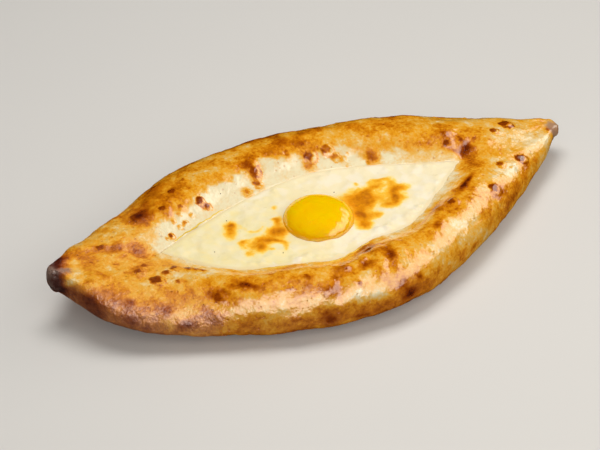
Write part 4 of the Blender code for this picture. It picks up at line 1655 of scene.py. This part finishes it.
def cheese_mesh():
    """The pool: a fine top that dips under the yolk, and a plain rounded underside."""
    first, last = (POOL_CORNERS[end][0] + end * POOL_LONGER for end in (LEFT, RIGHT))
    turning = np.linspace(0, math.pi, POOL_STATIONS) * (1 - 2 * END_SKIP) + END_SKIP * math.pi
    x = first + (last - first) * (1 - np.cos(turning) / math.cos(END_SKIP * math.pi)) / 2
    back = (pool_y(x, BACK) + POOL_OVERLAP)[:, None]
    front = (pool_y(x, FRONT) - POOL_OVERLAP)[:, None]
    share = np.linspace(0, 1, POOL_ACROSS)
    y = back * (1 - share) + front * share
    inside = np.minimum(back - y, y - front)
    edge = np.minimum(inside, np.minimum(x - first, last - x)[:, None] * 0.6 + 0.2)
    z = POOL_LEVEL + POOL_RISE - EDGE_ROUNDING * np.clip(1 - edge / EDGE_REACH, 0, 1) ** 2
    middle_x, middle_y = YOLK_MIDDLE.x - SHIFT.x, YOLK_MIDDLE.y - SHIFT.y
    off = np.hypot(x[:, None] - middle_x, y - middle_y)
    z = z + COLLAR_RISE * np.exp(-(((off - YOLK_RADIUS) / COLLAR_WIDTH) ** 2))
    under_yolk = yolk_underside(off) - YOLK_SEAT
    dip = smooth(off, YOLK_RADIUS - 0.5, YOLK_RADIUS - UNDER_YOLK)
    z = z + (np.minimum(under_yolk, z) - z) * dip
    deep = (hollow_depth(x) + PAN_DEEPER)[:, None]
    angles = np.linspace(0, math.pi, PAN_POINTS + 2)[1:-1]
    across, down = rounded(-angles, POOL_SQUARENESS)
    pan_y = (back + front) / 2 - (back - front) / 2 * across
    pan_z = POOL_LEVEL - PAN_DROP + deep * down
    ys = np.concatenate([y, pan_y], 1)
    zs = np.concatenate([z, pan_z], 1)
    xs = np.repeat(x[:, None], ys.shape[1], 1)
    points = in_frame(xs, ys, zs)

    top = np.arange(ys.shape[1]) < POOL_ACROSS
    margin = np.concatenate([edge, edge[:, :PAN_POINTS] * 0], 1)
    wide_off = np.hypot(xs - middle_x, ys - middle_y)
    open_top = top * smooth(margin, POOL_OVERLAP, POOL_OVERLAP + 5.0)
    open_top = open_top * smooth(wide_off, YOLK_RADIUS - UNDER_YOLK, YOLK_RADIUS + 0.2)
    plan_x, plan_y = points[..., 0], points[..., 1]
    near = smooth(margin, 14.0, 3.0) * (plan_y < YOLK_MIDDLE.y) * smooth(plan_x, -62, -46)
    far = smooth(margin, 13.0, 4.0) * (plan_y > YOLK_MIDDLE.y) * smooth(plan_x, -50, -30)
    attributes = {
        "open": open_top,
        "brown": np.clip(cloud_field(plan_x, plan_y, TOASTED), 0, 1.2) * top,
        "bubbly": np.clip(0.15 + near + 0.7 * far, 0, 1),
    }
    return mesh_from_grid("baked_cheese", points, attributes)


YOLK_MERIDIANS = 120
YOLK_RINGS = 44
YOLK_CREST = YOLK_TOP - POOL_LEVEL - SHIFT.z
YOLK_BELLY = 9.0
YOLK_ROUNDING = 0.55
CROWN_FLATNESS, BELLY_FLATNESS = 3.4, 2.4


def yolk_underside(off):
    """Height of the yolk's underside at a distance from its middle."""
    share = np.minimum(off, YOLK_RADIUS) / YOLK_RADIUS
    return POOL_LEVEL - YOLK_BELLY * np.clip(1 - share**BELLY_FLATNESS, 0, 1) ** YOLK_ROUNDING


def yolk_mesh():
    """A soft, slightly uneven dome with rounded shoulders, closed below."""
    turn = np.linspace(0, 2 * math.pi, YOLK_MERIDIANS, endpoint=False)
    swing = np.linspace(0, math.pi, YOLK_RINGS)
    share = np.sin(swing)
    uneven = 1.004 + 0.005 * np.sin(2 * turn + 0.7) + 0.004 * np.sin(3 * turn + 2.1)
    off = share[:, None] * uneven * YOLK_RADIUS
    crown = YOLK_CREST * np.clip(1 - share**CROWN_FLATNESS, 0, 1) ** YOLK_ROUNDING
    bowl = yolk_underside(share * YOLK_RADIUS) - POOL_LEVEL
    rise = np.where(swing < math.pi / 2, crown, bowl)
    z = POOL_LEVEL + SHIFT.z + rise[:, None] + 0 * off
    x = YOLK_MIDDLE.x + off * np.cos(turn)
    y = YOLK_MIDDLE.y + off * np.sin(turn)
    points = np.stack([x, y, z], 2)
    rim = np.repeat(share[:, None], YOLK_MERIDIANS, 1)
    return mesh_from_grid("egg_yolk", points, {"rim": rim})


# Seams with butter: piece name, side, start and end along the loaf, thickness.
BUTTER_SEAMS = (
    ("butter_back", BACK, -95.2, -48.0, 0.9),
    ("butter_front", FRONT, -58.0, 12.0, 0.7),
)
SEAM_POINTS = 60
SEAM_OUTSET = 0.9
SEAM_RISE = 0.2


def seam_line(side, start, end):
    """A slightly wandering line just outside the pool's edge, at its level."""
    x = np.linspace(start, end, SEAM_POINTS)
    y = pool_y(x, side) + side * SEAM_OUTSET + 0.3 * np.sin(x * 0.55) + 0.2 * np.sin(x * 1.3)
    z = np.full(SEAM_POINTS, POOL_LEVEL + SEAM_RISE)
    places = (in_frame(x, y, z) * MM).tolist()
    return plain_mesh("seam_line", places, [(k, k + 1) for k in range(SEAM_POINTS - 1)])


CRUMBS = ((-52.5, 13.8), (-69.5, -7.0), (-38.5, -24.5), (9.7, 9.2), (-47.0, 32.0))


def crumb_points():
    """Laid on whatever is on top there: the pieces that are already made."""
    bpy.context.view_layer.update()
    places = []
    for x, y in CRUMBS:
        tops = []
        for name in ("crust_skin", "baked_cheese"):
            piece = bpy.data.objects[name]
            hit, spot = piece.ray_cast(*straight_down(x, y))[:2]
            if hit:
                tops.append(spot)
        places.append(max(tops, key=lambda spot: spot.z))
    return plain_mesh("crumb_places", places)


# ---------------------------------------------------------------------------------------------
# The stage.

# In metres.
FLOOR_REACH = 3.0
FLOOR_DROP = 0.0003
CAMERA_AIM = Vector((-0.0167, -0.00175, 0.02))
SENSOR_WIDTH = 36.0  # millimetres

WARM_LIGHT = (1.0, 0.95, 0.88)
PALE_LIGHT = (1.0, 0.98, 0.95)
# Lamps that face the loaf: name, the setting with its power, direction, distance, width and height,
# colour, and whether it is mirrored. The sheen's distance keeps it clear of the front light.
LAMPS = (
    ("key_light", "key_power", (0.705, -0.375, 0.602), 0.8, (1.8, 0.48), WARM_LIGHT, True),
    ("front_light", "front_power", (-0.25, -0.687, 0.682), 0.9, (0.62, 0.7), WARM_LIGHT, False),
    ("front_sheen", "sheen_power", (-0.2, -0.804, 0.56), 0.87, (0.66, 0.72), WARM_LIGHT, True),
    ("fill_light", "fill_power", (0.0, 0.15, 0.989), 0.95, (0.6, 0.42), PALE_LIGHT, False),
)


def make_floor(look):
    """A pale table that the glossy crust doesn't mirror."""
    corners = [(-1, -1), (1, -1), (1, 1), (-1, 1)]
    places = [(x * FLOOR_REACH, y * FLOOR_REACH, -FLOOR_DROP) for x, y in corners]
    mesh = plain_mesh("floor", places, faces=[(0, 1, 2, 3)])
    table = plain_finish("Pale Table", look.floor, roughness=0.6, spread=0.02, size=0.4)
    glow = {"Emission Color": (*PALE_LIGHT, 1.0), "Emission Strength": look.floor_glow}
    Nodes(table.node_tree).fill(table.node_tree.nodes["Principled BSDF"], glow)
    mesh.materials.append(table)
    floor = new_object("floor", mesh)
    floor.visible_glossy = False


def aim_back(thing, aim, away, distance):
    """Put a camera or a lamp that far away from its aim, facing it."""
    thing.location = aim + away * distance
    thing.rotation_euler = away.to_track_quat("Z", "Y").to_euler()


def make_camera(scene, look):
    """The camera, aimed at the loaf's middle from the set direction."""
    flat, up = math.cos(look.elevation), math.sin(look.elevation)
    away = Vector((math.sin(look.azimuth) * flat, -math.cos(look.azimuth) * flat, up))
    camera = new_object("camera", bpy.data.cameras.new("camera"))
    camera.data.lens = look.lens
    camera.data.sensor_width = SENSOR_WIDTH
    aim_back(camera, CAMERA_AIM, away, look.distance)
    scene.camera = camera


def soft_light(name, power, direction, distance, size, colour):
    """A rectangle of light that faces the loaf's middle."""
    light = bpy.data.lights.new(name, "AREA")
    light.shape = "RECTANGLE"
    light.size, light.size_y = size
    light.energy = power
    light.color = colour
    lamp = new_object(name, light)
    aim_back(lamp, Vector(), Vector(direction).normalized(), distance)
    return lamp


def shine_only_on(lamp, name):
    """Leave a lamp nothing but its mirror image in one piece, if that piece is made."""
    lamp.visible_diffuse = False
    washed = bpy.data.collections.new("washed_crust")
    if name in bpy.data.objects:
        washed.objects.link(bpy.data.objects[name])
    lamp.light_linking.receiver_collection = washed


# ---------------------------------------------------------------------------------------------
# The add-on.


class BREAD_PT_pieces(bpy.types.Panel):
    """Lists the loaf's pieces and what can be changed about them"""

    bl_idname = "BREAD_PT_pieces"
    bl_label = "Cheese Boat Bread"
    bl_space_type = "VIEW_3D"
    bl_region_type = "UI"
    bl_category = "Bread"

    def draw(self, context):
        for operator in OPERATORS:
            self.layout.operator(operator.bl_idname)
        for label in LOOKS:
            box = self.layout.box()
            settings = getattr(context.scene, label)
            for key in type(settings).__annotations__:
                box.prop(settings, key)


LOOKS = {
    "bread_crust": CrustLook,
    "bread_cheese": CheeseLook,
    "bread_yolk": YolkLook,
    "bread_stage": StageLook,
}
OPERATORS = (
    BREAD_OT_crust,
    BREAD_OT_cheese,
    BREAD_OT_yolk,
    BREAD_OT_butter,
    BREAD_OT_crumbs,
    BREAD_OT_stage,
)


def register():
    for label, look in LOOKS.items():
        bpy.utils.register_class(look)
        setattr(bpy.types.Scene, label, PointerProperty(type=look))
    for made in (*OPERATORS, BREAD_PT_pieces):
        bpy.utils.register_class(made)


def unregister():
    for made in (BREAD_PT_pieces, *reversed(OPERATORS)):
        bpy.utils.unregister_class(made)
    for label, look in LOOKS.items():
        delattr(bpy.types.Scene, label)
        bpy.utils.unregister_class(look)


def main():
    register()
    bpy.ops.bread.crust()
    bpy.ops.bread.cheese()
    bpy.ops.bread.yolk()
    bpy.ops.bread.butter()
    bpy.ops.bread.crumbs()
    bpy.ops.bread.stage()


if __name__ == "__main__":
    main()
